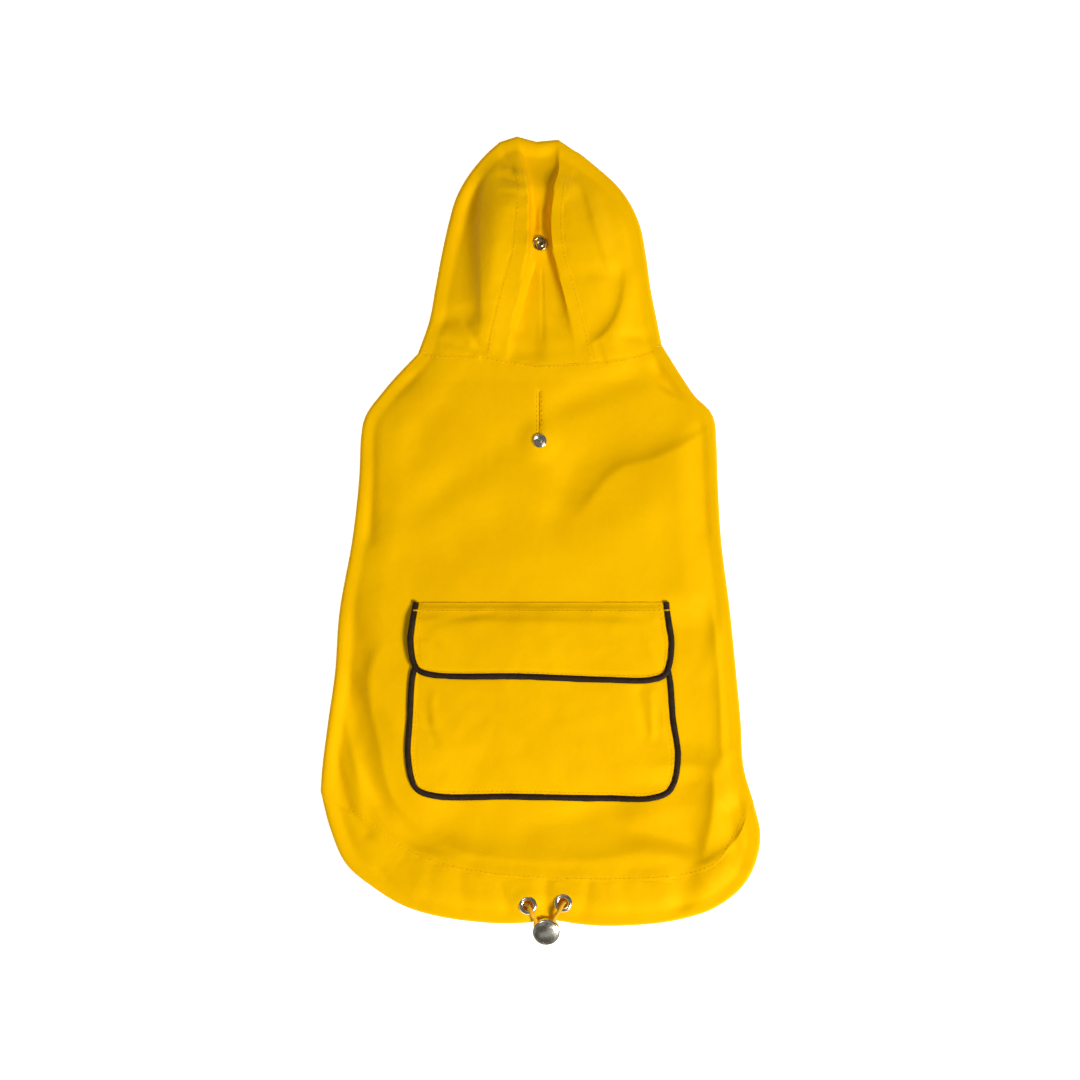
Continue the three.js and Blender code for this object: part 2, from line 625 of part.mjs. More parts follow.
// Shares of a path that lie closer together where it bends.
const PIPING_STEP = 14;
const PIPING_TURN = THREE.MathUtils.degToRad(13);
const FINE_STEPS = 400;
function bentShares(path) {
  const shares = [0];
  for (const t of steps(FINE_STEPS).slice(1, -1)) {
    const last = shares[shares.length - 1];
    const bend = path.getTangentAt(t).angleTo(path.getTangentAt(last));
    const length = (t - last) * path.getLength();
    if (bend > PIPING_TURN || length > PIPING_STEP) shares.push(t);
  }
  return [...shares, 1];
}

// Piping is a flattened tube laid along its path.
function piping(path, liftAt) {
  const rings = bentShares(path).map((t) => {
    const p = path.getPointAt(t);
    const tangent = path.getTangentAt(t);
    const base = onTop(p);
    const across = point(-tangent.y, tangent.x).normalize();
    const middle = base.place.addScaledVector(base.normal, liftAt(p) + PIPING.height / 2);
    return steps(PIPING_SIDES).slice(0, -1).map((share) => {
      const angle = 2 * Math.PI * share;
      const out = middle.clone().addScaledVector(across, (PIPING.width / 2) * Math.cos(angle));
      return out.addScaledVector(base.normal, (PIPING.height / 2) * Math.sin(angle));
    });
  });
  const triangles = [];
  for (let i = 1; i < rings.length; i += 1) {
    for (let j = 0; j < PIPING_SIDES; j += 1) {
      const next = (j + 1) % PIPING_SIDES;
      const [a, b] = [(i - 1) * PIPING_SIDES + j, (i - 1) * PIPING_SIDES + next];
      const [c, d] = [i * PIPING_SIDES + next, i * PIPING_SIDES + j];
      triangles.push(a, b, c, a, c, d);
    }
  }
  const end = (rings.length - 1) * PIPING_SIDES;
  for (let j = 2; j < PIPING_SIDES; j += 1) {
    triangles.push(0, j, j - 1, end, end + j - 1, end + j);
  }
  return closedBody(rings.flat(), triangles);
}

// Cloth inside a piping path, lifted off the panel, with a little swell in its middle.
const PATCH_STEPS_ACROSS = 14;
function pipedPatch(path, down, liftAt, swell) {
  const inset = PIPING.width / 2 + PIPING.clearance;
  const edge = (t) => moved(path, inset, t);
  const bottomLeft = cornerShare(path);
  const bottomRight = 1 - bottomLeft;
  const [topLeft, topRight] = [edge(0), edge(1)];
  const plan = coons(
    (v) => edge(THREE.MathUtils.lerp(0, bottomLeft, v)),
    (v) => edge(THREE.MathUtils.lerp(1, bottomRight, v)),
    (u) => mix(topLeft, topRight, u),
    (u) => edge(THREE.MathUtils.lerp(bottomLeft, bottomRight, u)),
  );
  return clothWall(
    steps(down).map((v) =>
      steps(PATCH_STEPS_ACROSS).map((u) => {
        const p = plan(u, v);
        const rise = swell * Math.sin(Math.PI * u) * Math.sin(Math.PI * v);
        return onTop(p, liftAt(p) + WALL + rise);
      }),
    ),
  );
}

// The share of a piping path at the middle of its first corner, where it runs at 45 degrees.
function cornerShare(path) {
  const slope = (t) => Math.abs(path.getTangentAt(t).y);
  return steps(FINE_STEPS, 0, 0.5).find((t) => slope(t) < Math.SQRT1_2);
}

const pocketLift = () => SEAM_GAP;
const pocket = pipedPatch(pocketPath, 9, pocketLift, POCKET_SWELL);
const pocketPiping = piping(pocketPath, pocketLift);
const flap = pipedPatch(flapPath, 6, (p) => flapLift(p.y), FLAP_SWELL);
const flapPiping = piping(flapPath, (p) => flapLift(p.y));

// Turned metal pieces: profiles of radius and height.
const ROUND_SIDES = 22;
const TOGGLE_SIDES = 30;
const turned = (profile, sides = ROUND_SIDES) => {
  const geometry = new THREE.LatheGeometry(profile.map(([r, z]) => new THREE.Vector2(r, z)), sides);
  return geometry.rotateX(Math.PI / 2);
};
// The cap of a press stud: a ring round a low dome. Its socket: a higher ring round a flat floor.
const studCap = [
  [0, 0],
  [STUD_RADIUS, 0],
  [STUD_RADIUS, 0.9],
  [STUD_RADIUS - 0.4, 1.3],
  [STUD_RADIUS - 1.1, 1.3],
  [STUD_RADIUS - 1.5, 1.1],
  [STUD_RADIUS - 2, 1.6],
  [1.2, 2.2],
  [0, 2.3],
];
const studSocket = [
  [0, 0],
  [STUD_RADIUS, 0],
  [STUD_RADIUS, 0.8],
  [STUD_RADIUS - 0.5, 1.5],
  [STUD_RADIUS - 1.3, 1.7],
  [STUD_RADIUS - 2, 1.4],
  [STUD_RADIUS - 2.2, 0.6],
  [0, 0.6],
];
const eyeletProfile = [
  [EYELET.barrel, -EYELET.depth],
  [EYELET.barrel, SEAM_GAP],
  [EYELET.outer, SEAM_GAP],
  [EYELET.outer - 0.4, EYELET.rim],
  [EYELET.outer - 1.4, EYELET.height],
  [EYELET.inner + 0.7, EYELET.height],
  [EYELET.inner, EYELET.rim],
  [EYELET.inner, -EYELET.depth],
  [EYELET.barrel, -EYELET.depth],
];

// Where a flat round piece sits: on the highest cloth under its rim.
const RIM_SAMPLES = 12;
function seatHeight({ x, y }, radius) {
  const rim = steps(RIM_SAMPLES).map((t) => {
    const angle = 2 * Math.PI * t;
    return layHeight(x + radius * Math.cos(angle), y + radius * Math.sin(angle));
  });
  return Math.max(layHeight(x, y), ...rim);
}

const group = new THREE.Group();
const coat = new THREE.Group();
group.add(coat);

function add(name, geometry, surface, place) {
  geometry.deleteAttribute("uv");
  const mesh = new THREE.Mesh(geometry, surface);
  mesh.name = name;
  if (place) mesh.position.copy(place);
  coat.add(mesh);
  return mesh;
}

const cloth = () => material(0xf5b501, 0.48, 0);
const pipingCloth = () => material(0x1d1712, 0.6, 0);
const nickel = () => material(0xb9b7b2, 0.22, 1);
const elasticThread = () => material(0xf2ae10, 0.7, 0);
add("back_panel", backPanel, cloth());
add("hem_band", hemBand, cloth());
add("hood_left", hoodLeftPanel, cloth());
add("hood_centre", hoodCentre, cloth());
add("hood_right", hoodRightPanel, cloth());
add("chest_panel", chestPanel, cloth());
add("belly_strap", bellyStrap, cloth());
add("pocket", pocket, cloth());
add("pocket_flap", flap, cloth());
add("pocket_piping", pocketPiping, pipingCloth());
add("flap_piping", flapPiping, pipingCloth());

const seat = (place, radius, lift) => point(place.x, place.y, seatHeight(place, radius) + lift);
add("stud_hood", turned(studCap), nickel(), seat(STUD_HOOD, STUD_RADIUS, SEAM_GAP));
add("stud_back", turned(studSocket), nickel(), seat(STUD_BACK, STUD_RADIUS, SEAM_GAP));
const eyeletLeft = add("eyelet_left", turned(eyeletProfile), nickel(), seat(EYELET_LEFT, EYELET.outer, 0));
const eyeletRight = add("eyelet_right", turned(eyeletProfile), nickel(), seat(EYELET_RIGHT, EYELET.outer, 0));

// The toggle: a domed disc that leans on the hem, with a socket for each end of the elastic.
const toggleProfile = [
  [0, 0],
  [TOGGLE.flat, 0],
  [TOGGLE.radius - 0.3, 0.8],
  [TOGGLE.radius, 1.8],
  [TOGGLE.radius, 3.6],
  [TOGGLE.radius - 0.4, 4.4],
  [TOGGLE.radius - 1.1, 4.7],
  [TOGGLE.radius - 1.8, 4.5],
  [4, 5.4],
  [0, 5.8],
];
const socketMouth = (x) => Math.sqrt(TOGGLE.radius ** 2 - x ** 2);
const socketCutter = (x) => {
  const radius = CORD_RADIUS + SEAM_GAP;
  const cutter = new THREE.CylinderGeometry(radius, radius, SOCKET.cutLength, SOCKET.cutSides);
  return cutter.translate(x, socketMouth(x) - SOCKET.depth + SOCKET.cutLength / 2, SOCKET.z);
};
const sockets = [socketCutter(SOCKET.left), socketCutter(SOCKET.right)];
const toggleBody = cutBy(turned(toggleProfile, TOGGLE_SIDES), sockets);
const togglePlace = point(TOGGLE.x, TOGGLE.y, TOGGLE.flat * Math.sin(TOGGLE.tilt));
const toggle = add("cord_toggle", toggleBody, nickel(), togglePlace);
toggle.rotation.x = TOGGLE.tilt;
toggle.updateMatrix();

// The elastic: out of the casing, up through an eyelet and down into its socket in the toggle.
const cordSection = new THREE.Shape(
  steps(CORD_SIDES).slice(0, -1).map((t) => {
    const angle = 2 * Math.PI * t;
    return new THREE.Vector2(CORD_RADIUS * Math.cos(angle), CORD_RADIUS * Math.sin(angle));
  }),
);
const CASING_Z = WALL + SEAM_GAP + CORD_RADIUS;
const CORD_STEPS = 22;
const CORD_TOP = 3.1;

// The way out of the casing: how far beside the eyelet's middle, how far below it on the coat, and how high.
const CORD_IN_CASING = [
  { beside: 12, below: 1, z: CASING_Z },
  { beside: 8, below: 0.4, z: CASING_Z },
  { beside: 4.2, below: 0, z: CASING_Z + 0.4 },
];
// The way up through the eyelet and over its edge, with heights from the eyelet's seat.
const CORD_IN_EYELET = [
  { beside: 1.1, below: 0, up: -1.4 },
  { beside: 0, below: 0, up: 0.6 },
  { beside: -0.6, below: 0.9, up: 2.6 },
];

function elastic(eyelet, socketX, from) {
  const { x, y, z } = eyelet.position;
  const rim = socketMouth(socketX);
  const inToggle = (ahead) => point(socketX, rim + ahead, SOCKET.z).applyMatrix4(toggle.matrix);
  const mouth = inToggle(CORD_RADIUS + SEAM_GAP);
  const route = new THREE.CatmullRomCurve3([
    ...CORD_IN_CASING.map((row) => point(x + from * row.beside, y - row.below, row.z)),
    ...CORD_IN_EYELET.map((row) => point(x + from * row.beside, y - row.below, z + row.up)),
    mix(point(x, y), mouth, 0.5).setZ(z + CORD_TOP),
    mouth,
    inToggle(-SOCKET.depth + 2 * SEAM_GAP),
  ]);
  const shape = { steps: CORD_STEPS, extrudePath: route, bevelEnabled: false };
  return new THREE.ExtrudeGeometry(cordSection, shape);
}
add("cord_left", elastic(eyeletLeft, SOCKET.left, -1), elasticThread());
add("cord_right", elastic(eyeletRight, SOCKET.right, 1), elasticThread());

// The whole coat is moved so that the origin is the middle of its footprint, on the surface it lies on.
const box = new THREE.Box3().setFromObject(coat, true);
coat.position.set(-(box.min.x + box.max.x) / 2, -(box.min.y + box.max.y) / 2, -box.min.z);

export default group;
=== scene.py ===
import math

import bpy
import numpy as np
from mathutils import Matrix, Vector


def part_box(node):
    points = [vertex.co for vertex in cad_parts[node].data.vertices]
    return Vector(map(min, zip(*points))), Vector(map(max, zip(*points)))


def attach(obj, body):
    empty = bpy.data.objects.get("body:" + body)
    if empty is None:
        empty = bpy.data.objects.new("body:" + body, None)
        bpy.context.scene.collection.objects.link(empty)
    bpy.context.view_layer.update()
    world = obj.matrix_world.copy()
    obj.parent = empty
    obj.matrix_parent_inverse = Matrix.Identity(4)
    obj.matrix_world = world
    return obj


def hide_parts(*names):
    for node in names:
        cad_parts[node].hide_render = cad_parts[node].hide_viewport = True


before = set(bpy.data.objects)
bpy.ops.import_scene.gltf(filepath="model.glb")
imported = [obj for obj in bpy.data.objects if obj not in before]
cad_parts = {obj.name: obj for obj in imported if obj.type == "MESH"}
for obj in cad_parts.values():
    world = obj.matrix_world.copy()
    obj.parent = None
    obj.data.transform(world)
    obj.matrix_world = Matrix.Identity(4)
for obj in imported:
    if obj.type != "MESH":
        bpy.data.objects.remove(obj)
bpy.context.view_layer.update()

# The view: the coat lies on a pale table and is seen from straight above, with its hood at the top.
# The camera stands far enough off that a coat 0.5 m long shows almost no perspective.
view_width = 0.678
lens = 85
sensor = 36
camera = bpy.data.objects.new("camera", bpy.data.cameras.new("camera"))
camera.data.lens = lens
camera.data.sensor_width = sensor
camera_x, camera_y = -0.0003, 0.0006
edge_level = 0.0024
camera.location = (camera_x, camera_y, view_width * lens / sensor + edge_level)
bpy.context.collection.objects.link(camera)
bpy.context.scene.camera = camera
bpy.context.scene.view_settings.view_transform = "Standard"

# The table and the light: a wide pale table, one large soft lamp from the lower right, a weaker one opposite,
# and a pale surround with darker panels, which polished metal shows.
table_half, table_drop = 4, 0.0003
table_mesh = bpy.data.meshes.new("table")
table_corners = [(x * table_half, y * table_half, 0) for x, y in ((-1, -1), (1, -1), (1, 1), (-1, 1))]
table_mesh.from_pydata(table_corners, [], [(0, 1, 2, 3)])
table = bpy.data.objects.new("table", table_mesh)
table.location.z = -table_drop
bpy.context.collection.objects.link(table)
paint = bpy.data.materials.new("table_top")
paint.use_nodes = True
table_surface = paint.node_tree.nodes["Principled BSDF"]
table_surface.inputs["Base Color"].default_value = (0.9, 0.9, 0.9, 1)
table_surface.inputs["Roughness"].default_value = 0.9
table_surface.inputs["Specular IOR Level"].default_value = 0.1
table_surface.inputs["Emission Color"].default_value = (1, 1, 1, 1)
table_surface.inputs["Emission Strength"].default_value = 0.8
table_mesh.materials.append(paint)


def lamp(name, place, size, power):
    light = bpy.data.lights.new(name, "AREA")
    light.size = size
    light.energy = power
    holder = bpy.data.objects.new(name, light)
    holder.location = place
    aim = -holder.location
    holder.rotation_euler = aim.to_track_quat("-Z", "Y").to_euler()
    bpy.context.collection.objects.link(holder)


lamp("main_lamp", (1.6, -1.45, 2.0), 0.9, 91)
lamp("fill_lamp", (-1.1, 0.9, 2.4), 1.0, 9)
surround = bpy.data.worlds.new("surround")
surround.use_nodes = True
room = surround.node_tree
direction = room.nodes.new("ShaderNodeTexCoord")
tilted = room.nodes.new("ShaderNodeMapping")
tilted.inputs["Rotation"].default_value = (0.5, -0.6, 0.3)
panels = room.nodes.new("ShaderNodeTexNoise")
panels.inputs["Scale"].default_value = 1.7
panels.inputs["Detail"].default_value = 1
shades = room.nodes.new("ShaderNodeValToRGB")
shades.color_ramp.elements[0].position = 0.44
shades.color_ramp.elements[0].color = (0.26, 0.25, 0.235, 1)
shades.color_ramp.elements[1].position = 0.56
shades.color_ramp.elements[1].color = (1, 1, 0.98, 1)
room.links.new(direction.outputs["Generated"], tilted.inputs["Vector"])
room.links.new(tilted.outputs["Vector"], panels.inputs["Vector"])
room.links.new(panels.outputs["Fac"], shades.inputs["Fac"])
room.links.new(shades.outputs["Color"], room.nodes["Background"].inputs["Color"])
room.nodes["Background"].inputs["Strength"].default_value = 0.3
bpy.context.scene.world = surround

# The back panel is one cut piece of coated cloth. Its two long sides are folded under, and its upper and
# lower edges are sewn to the hood and to the casing of the hem. A buttonhole for the leash is cut in it.

# How the whole coat lies comes first, because the back lies in it: its outline, its seams, and how high the
# cloth stands over the table. All of it is in millimetres from the middle of the neck seam, which lies this
# far from the press stud on the back.
stud_back_place = (-0.3, -47.8)
stud_low, stud_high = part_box("stud_back")
neck_x = 500 * (stud_low[0] + stud_high[0]) - stud_back_place[0]
neck_y = 500 * (stud_low[1] + stud_high[1]) - stud_back_place[1]

neck_left, neck_right = (-76.8, 7.2), (76.4, 12.6)
crown_left, crown_right = (-25.5, 140), (22, 134.3)
hem_left, hem_right = (-137.9, -267.5), (133.9, -274)

# Down the body: height, left edge, right edge.
body_rows = [
    (-9, -92.2, 90), (-20, -101.4, 97.7), (-28.5, -107.8, 106.5), (-35.5, -111, 109.6), (-46, -112.6, 110.6),
    (-72, -113.8, 111.5), (-110, -118.1, 113.7), (-155, -126.1, 119.3), (-193, -128.9, 123.1),
    (-223, -133.1, 125.9), (-253, -136.9, 127.9),
]
# Up the hood: height, left edge, right edge.
hood_rows = [
    (27.6, -69.7, 73.4), (47.7, -65.9, 69.4), (67.8, -62.2, 66.6), (87.9, -57.8, 62.6), (103, -53.6, 55.6),
    (113, -48.9, 48), (123.1, -42.1, 36.9), (133.1, -33.3, 24.4),
]
# Up the middle of the hood: height, left seam, left fold of the pleat, its middle, right fold, right seam,
# and how deep the pleat is.
pleat_rows = [
    (0.2, -34.5, -21.5, 1, 23.5, 33.5, 1.4),
    (19.5, -32, -18.6, 0.9, 20.5, 30, 3.6),
    (47.1, -25.1, -12.6, 0.7, 13.8, 23, 5.4),
    (69.7, -18.6, -7.6, 0.1, 7.4, 16.4, 7.4),
    (91.1, -16.3, -6.9, -0.3, 5.9, 14.6, 7.6),
    (109.3, -15.3, -7.4, -0.1, 8.4, 16.4, 6.4),
    (122, -17.3, -10.2, -0.6, 11.6, 19, 4.6),
    (140.2, -25.5, -14.6, -2.5, 11.4, 22, 1.6),
]
crown_peaks = [(-14.6, 143.5), (-2.5, 140.2), (11.4, 141.5)]
neck_seam_points = [
    neck_left, (-55, 6.4), (-34.5, 5.6), (-21.5, 3), (0, 0.2), (14.4, 0.6), (33.5, 1.9), (52.1, 4.2), (66, 8),
    neck_right,
]
hem_seam_points = [
    hem_left, (-131.5, -272.9), (-104, -291.2), (-90.6, -302), (-74.7, -310), (-46.5, -317.8), (0, -322.8),
    (60, -323.4), (95, -320), (111.8, -312.2), (122.5, -297), (129.2, -282.5), hem_right,
]
hem_edge_points = [
    hem_left, (-131.9, -290.8), (-121.8, -313.4), (-103.6, -328.9), (-85.4, -339.7), (-62.8, -346.4),
    (-32.7, -350.3), (-14, -350.6), (-5.5, -349.6), (1.5, -348.6), (8, -348.6), (14.5, -349.5),
    (22.5, -350.8), (40, -352.2), (72.8, -350.6), (95.5, -346.2), (110.5, -340.4), (126.2, -328.4),
    (135, -313.4), (138.3, -294.5), hem_right,
]
# How high the cloth rises inside its edges: height up the coat, rise, how far in it takes.
rise_rows = [
    (-352, 2.7, 14), (-320, 3, 16), (-250, 3.6, 24), (-60, 3.6, 26), (-10, 3.4, 26), (10, 5, 30), (40, 9, 31),
    (75, 11.5, 33), (110, 9.5, 32), (143, 5, 36),
]
edge_roll = 2.4
slit_x, slit_top, slit_bottom, slit_width = -0.6, -17, -42.4, 0.4
turned_under = 15
hood_turned_under = 26


class Line:
    """A smooth line through all its points, read by the share of its length."""

    between = 60
    near = 0.002

    def __init__(self, points):
        p = np.array(points, float)
        p = np.vstack([2 * p[0] - p[1], p, 2 * p[-1] - p[-2]])
        pieces = []
        for a, b, c, d in zip(p, p[1:], p[2:], p[3:]):
            ab, bc, cd = (max(np.linalg.norm(e) ** 0.5, 1e-4) for e in (b - a, c - b, d - c))
            start = ((b - a) / ab - (c - a) / (ab + bc) + (c - b) / bc) * bc
            end = ((c - b) / bc - (d - b) / (bc + cd) + (d - c) / cd) * bc
            t = np.linspace(0, 1, self.between, endpoint=False)[:, None]
            pieces.append(
                b * (2 * t**3 - 3 * t**2 + 1) + start * (t**3 - 2 * t**2 + t)
                + c * (3 * t**2 - 2 * t**3) + end * (t**3 - t**2)
            )
        self.points = np.vstack(pieces + [p[-2:-1]])
        steps = np.linalg.norm(np.diff(self.points, axis=0), axis=1)
        self.lengths = np.concatenate([[0], np.cumsum(steps)])
        self.length = self.lengths[-1]

    def at(self, share):
        along = np.asarray(share, float) * self.length
        return np.stack([np.interp(along, self.lengths, column) for column in self.points.T], axis=-1)

    def along(self, share):
        share = np.asarray(share)
        ahead = self.at(np.minimum(share + self.near, 1)) - self.at(np.maximum(share - self.near, 0))
        return ahead / np.linalg.norm(ahead, axis=-1, keepdims=True)

    def beside(self, share, distance):
        ahead = self.along(share)
        return self.at(share) + distance * np.stack([-ahead[..., 1], ahead[..., 0]], axis=-1)

    def share_where(self, axis, value):
        return float(self.lengths[np.argmin(np.abs(self.points[:, axis] - value))] / self.length)


def side_points(rows, column):
    return [(row[column], row[0]) for row in rows]


body_left = Line([neck_left] + side_points(body_rows, 1) + [hem_left])
body_right = Line([neck_right] + side_points(body_rows, 2) + [hem_right])
hood_left_edge = Line([neck_left] + side_points(hood_rows, 1) + [crown_left])
hood_right_edge = Line([neck_right] + side_points(hood_rows, 2) + [crown_right])
neck_seam = Line(neck_seam_points)
hem_seam = Line(hem_seam_points)
hem_edge = Line(hem_edge_points)
crown = Line([crown_left] + crown_peaks + [crown_right])


def neck_point(x):
    return tuple(neck_seam.at(neck_seam.share_where(0, x)))


def up_the_hood(column, top):
    return Line([neck_point(pleat_rows[0][column])] + side_points(pleat_rows[1:-1], column) + [top])


hood_seam_left = up_the_hood(1, crown_left)
pleat_left = up_the_hood(2, crown_peaks[0])
pleat_middle = up_the_hood(3, crown_peaks[1])
pleat_right = up_the_hood(4, crown_peaks[2])
hood_seam_right = up_the_hood(5, crown_right)
far_away, line_piece, fewest_pieces = 1e9, 4, 12


def from_line(line, steps, x, y):
    """How far places lie from a line, above 0 on its right, and beside which share of its length."""
    away, share = np.full(x.shape, far_away), np.zeros(x.shape)
    chain = line.at(np.linspace(0, 1, steps + 1))
    for k, ((ax, ay), (bx, by)) in enumerate(zip(chain, chain[1:])):
        dx, dy = bx - ax, by - ay
        t = np.clip(((x - ax) * dx + (y - ay) * dy) / (dx * dx + dy * dy), 0, 1)
        here = np.hypot(x - ax - t * dx, y - ay - t * dy)
        closer = here < np.abs(away)
        away = np.where(closer, np.copysign(here, (x - ax) * dy - (y - ay) * dx), away)
        share = np.where(closer, (k + t) / steps, share)
    return away, share


class Chart:
    """Distances worked out once on a square net over the coat, then read between its knots."""

    low, high = (-146.0, -362.0), (146, 152)

    def __init__(self, lines, pitch=1.0):
        self.pitch = pitch
        (self.x0, self.y0), (x1, y1) = self.low, self.high
        x, y = np.meshgrid(np.arange(self.x0, x1, pitch), np.arange(self.y0, y1, pitch))
        pieces = [max(fewest_pieces, int(line.length / line_piece)) for line in lines]
        away = [np.abs(from_line(line, count, x, y)[0]) for line, count in zip(lines, pieces)]
        self.values = np.min(away, axis=0)

    def read(self, x, y):
        i = np.clip((x - self.x0) / self.pitch, 0, self.values.shape[1] - 1.001)
        j = np.clip((y - self.y0) / self.pitch, 0, self.values.shape[0] - 1.001)
        i0, j0 = i.astype(int), j.astype(int)
        u, v = i - i0, j - j0
        low = self.values[j0, i0] * (1 - u) + self.values[j0, i0 + 1] * u
        high = self.values[j0 + 1, i0] * (1 - u) + self.values[j0 + 1, i0 + 1] * u
        return low * (1 - v) + high * v


edge_chart = Chart([body_left, hem_edge, body_right, hood_right_edge, crown, hood_left_edge])
seam_chart = Chart([neck_seam, hem_seam, hood_seam_left, hood_seam_right])


def smooth(t):
    t = np.clip(t, 0, 1)
    return t * t * (3 - 2 * t)


def bell(distance, width):
    return np.exp(-((distance / width) ** 2))


# The folds of the cloth: from, to, width, height. Ridges are above 0 and troughs below.
folds = [
    # On the hood, from its left to its right.
    (-46, 112, -47, 30, 9, -1.1), (-31, 118, -30, 26, 9, 1.5), (-73, 27, -44, 31, 6, -1.5),
    (22, 118, 30, 96, 4, -0.8), (40, 100, 47, 78, 4, -0.7), (58, 52, 50, 22, 5, 1), (54, 18, 71, 16, 4, -1),
    # Across the shoulders.
    (56, -8, 16, -24, 9, -1.9), (22, -64, 9, -94, 9, -1), (80, -76, 50, -100, 16, 0.8),
    (-50, -1, -90, -75, 13, -1.3), (-24, -51, -80, -90, 11, -1.1), (-102, -20, -84, -9, 6, -1.4),
    (-30, -100, -90, -130, 14, -0.8), (-60, -40, -96, -110, 12, 0.5),
    # Down the two sides.
    (-108, -38, -107, -106, 4.5, -1.5), (99, -46, 102, -102, 6, -1.3), (108, -50, 111, -104, 3, 0.7),
    (-118, -190, -92, -222, 6, 1.2), (-104, -250, -92, -284, 6, 0.8), (-133, -231, -122.5, -275, 3, -1.5),
    (-122.5, -275, -109, -293, 3.2, -1.4),
    # Along the hem.
    (-95, -274, -40, -298, 9, -1.4), (49.5, -274, -3.5, -290, 9, -1.4), (-42, -311, 20, -315, 5, -0.9),
    (112, -257, 118, -271, 5, 1.2), (92, -318, 91, -348, 9, -2.2),
    (118, -281, 122, -302, 5, -1.9), (104, -320, 96, -344, 8, 0.7), (56, -316, 80, -313, 5, -0.9),
]
# Folds with one steep side. Each is a line of points with the low side on the right of the way along it, then
# how far the low side reaches, how deep it goes, and whether it drops in a step at the line itself.
tuck_steps, tuck_fade, step_width = 30, 5, 1.8
tucks = [
    ([(-33, 124), (-37.5, 100), (-38.3, 80), (-37.5, 50), (-36.6, 16)], 7, 1.9, False),
    ([(-18.5, 12.7), (-9.4, 42.8), (-1.4, 67)], 6, 1.9, True),
    ([(-2.6, 82), (-3.6, 96), (-7, 113)], 3, 1.1, True),
    ([(25, 116), (28.7, 105.6), (34.9, 83.5), (45.9, 51.7)], 6, 1.7, False),
    ([(53, 66), (52.5, 50.4), (50.3, 37.1), (42.8, 21.7), (27, 9)], 8, 2.4, False),
    ([(108.2, -33.5), (89.2, -22.5), (73.7, -13.6), (64, 3)], 4.5, 1.4, False),
    ([(112, -37), (73.7, -57.8), (47.3, -66.6), (20, -100)], 17, 3.1, False),
    ([(-93, -166), (-107, -192), (-101, -238), (-90, -276), (-52, -306)], 15, 3.7, False),
    ([(-44, -311), (-84, -301), (-108, -270), (-120, -232), (-124, -196)], 9, 2.2, False),
    ([(106, -140), (112, -195), (114, -258)], 14, 3.6, False),
    ([(108, -250), (108, -278), (101, -314)], 17, 5.2, False),
    ([(132, -264), (126, -292), (110, -309), (92, -317)], 7, 2.2, False),
    ([(84, -299), (40, -309), (0, -311), (-50, -305), (-90, -286)], 24, 3.4, False),
]
# Finer creases and puckers that the cloth shows close by.
creases = [
    (-25, 133, -17, 122, 2.2, -1.1), (-21, 122, -11, 118, 2.2, 0.7), (-24, 117, -13, 113, 2, -0.6),
    (-24, 107, -10, 105, 2, -0.5), (-22, 98, -12, 97, 2.2, 0.35), (14, 128, 20, 118, 3, -0.6),
    (-46, 24, -40, 14, 3, -0.9), (-38, 18, -30, 12, 2.5, 0.6), (-60, 14, -38, 9, 3, -0.6),
    (-44, 12, -39, 6, 2, 0.6), (8, 24, 24, 14, 4, -0.7), (-10, 20, -4, 4, 4, -0.5), (70, 10, 74, -4, 3, -0.7),
    (36, 12, 39, 4, 2, -0.6), (-122, -130, -116, -165, 5, -0.7), (112, -120, 108, -160, 7, -0.7),
    (116, -160, 104, -190, 5, 0.6), (-116, -240, -112, -280, 4, 0.7), (-124, -262, -108, -286, 4, -0.7),
    (-80, -285, -60, -305, 8, -0.7), (-40, -282, 20, -290, 12, -0.5), (60, -285, 96, -276, 7, 0.6),
    (100, -262, 116, -246, 5, 0.8), (20, -300, 60, -306, 10, -0.5), (124, -236, 127, -262, 3, -0.8),
    (-100, -318, -92, -336, 4, -0.6), (-50, -324, -46, -346, 5, -0.5), (-24, -328, -20, -346, 4, -0.6),
    (30, -328, 27, -346, 4, -0.6), (52, -326, 56, -348, 5, -0.45), (84, -324, 90, -344, 5, -0.5),
    (118, -306, 130, -314, 4, -0.6), (3, -326, 3.5, -342, 4, -0.7), (-66, -314, -74, -338, 5, -0.45),
]


def fold_height(rows, x, y):
    """The height of straight soft folds that run out at both ends."""
    total = np.zeros(x.shape)
    for x1, y1, x2, y2, width, height in rows:
        dx, dy = x2 - x1, y2 - y1
        length = math.hypot(dx, dy)
        along = ((x - x1) * dx + (y - y1) * dy) / length
        past = np.maximum(0, np.maximum(-along, along - length))
        across = ((x - x1) * dy - (y - y1) * dx) / length
        total += height * bell(across, width) * bell(past, 1.4 * width)
    return total


def tuck_height(x, y):
    """The height of the folds with one steep side."""
    total = np.zeros(x.shape)
    for points, reach, depth, stepped in tucks:
        beside, share = from_line(Line(points), tuck_steps, x, y)
        low_side = np.maximum(beside, 0) / reach
        if stepped:
            form = np.where(beside > 0, np.exp(-low_side), smooth(1 + beside / step_width))
        else:
            form = low_side * np.exp(1 - low_side)
        total -= depth * smooth(share * tuck_fade) * smooth((1 - share) * tuck_fade) * form
    return total


pleat_table = np.array(pleat_rows)
pleat_foot, wall_steepness = -1.8, 6
# Along the floor of the pleat: how far from its middle, width, height, then start, end and their fades.
floor_ridge = (0, 1.4, 1.1, 80, 104, 5, 12)
floor_crease = (0.6, 0.9, -0.5, 12, 62, 10, 6)
# Near the neck the pleat is shallower on its right: by what share, over what width, and where that ends.
shallow_share, shallow_width, shallow_start, shallow_fade = 0.7, 10, 12, 26


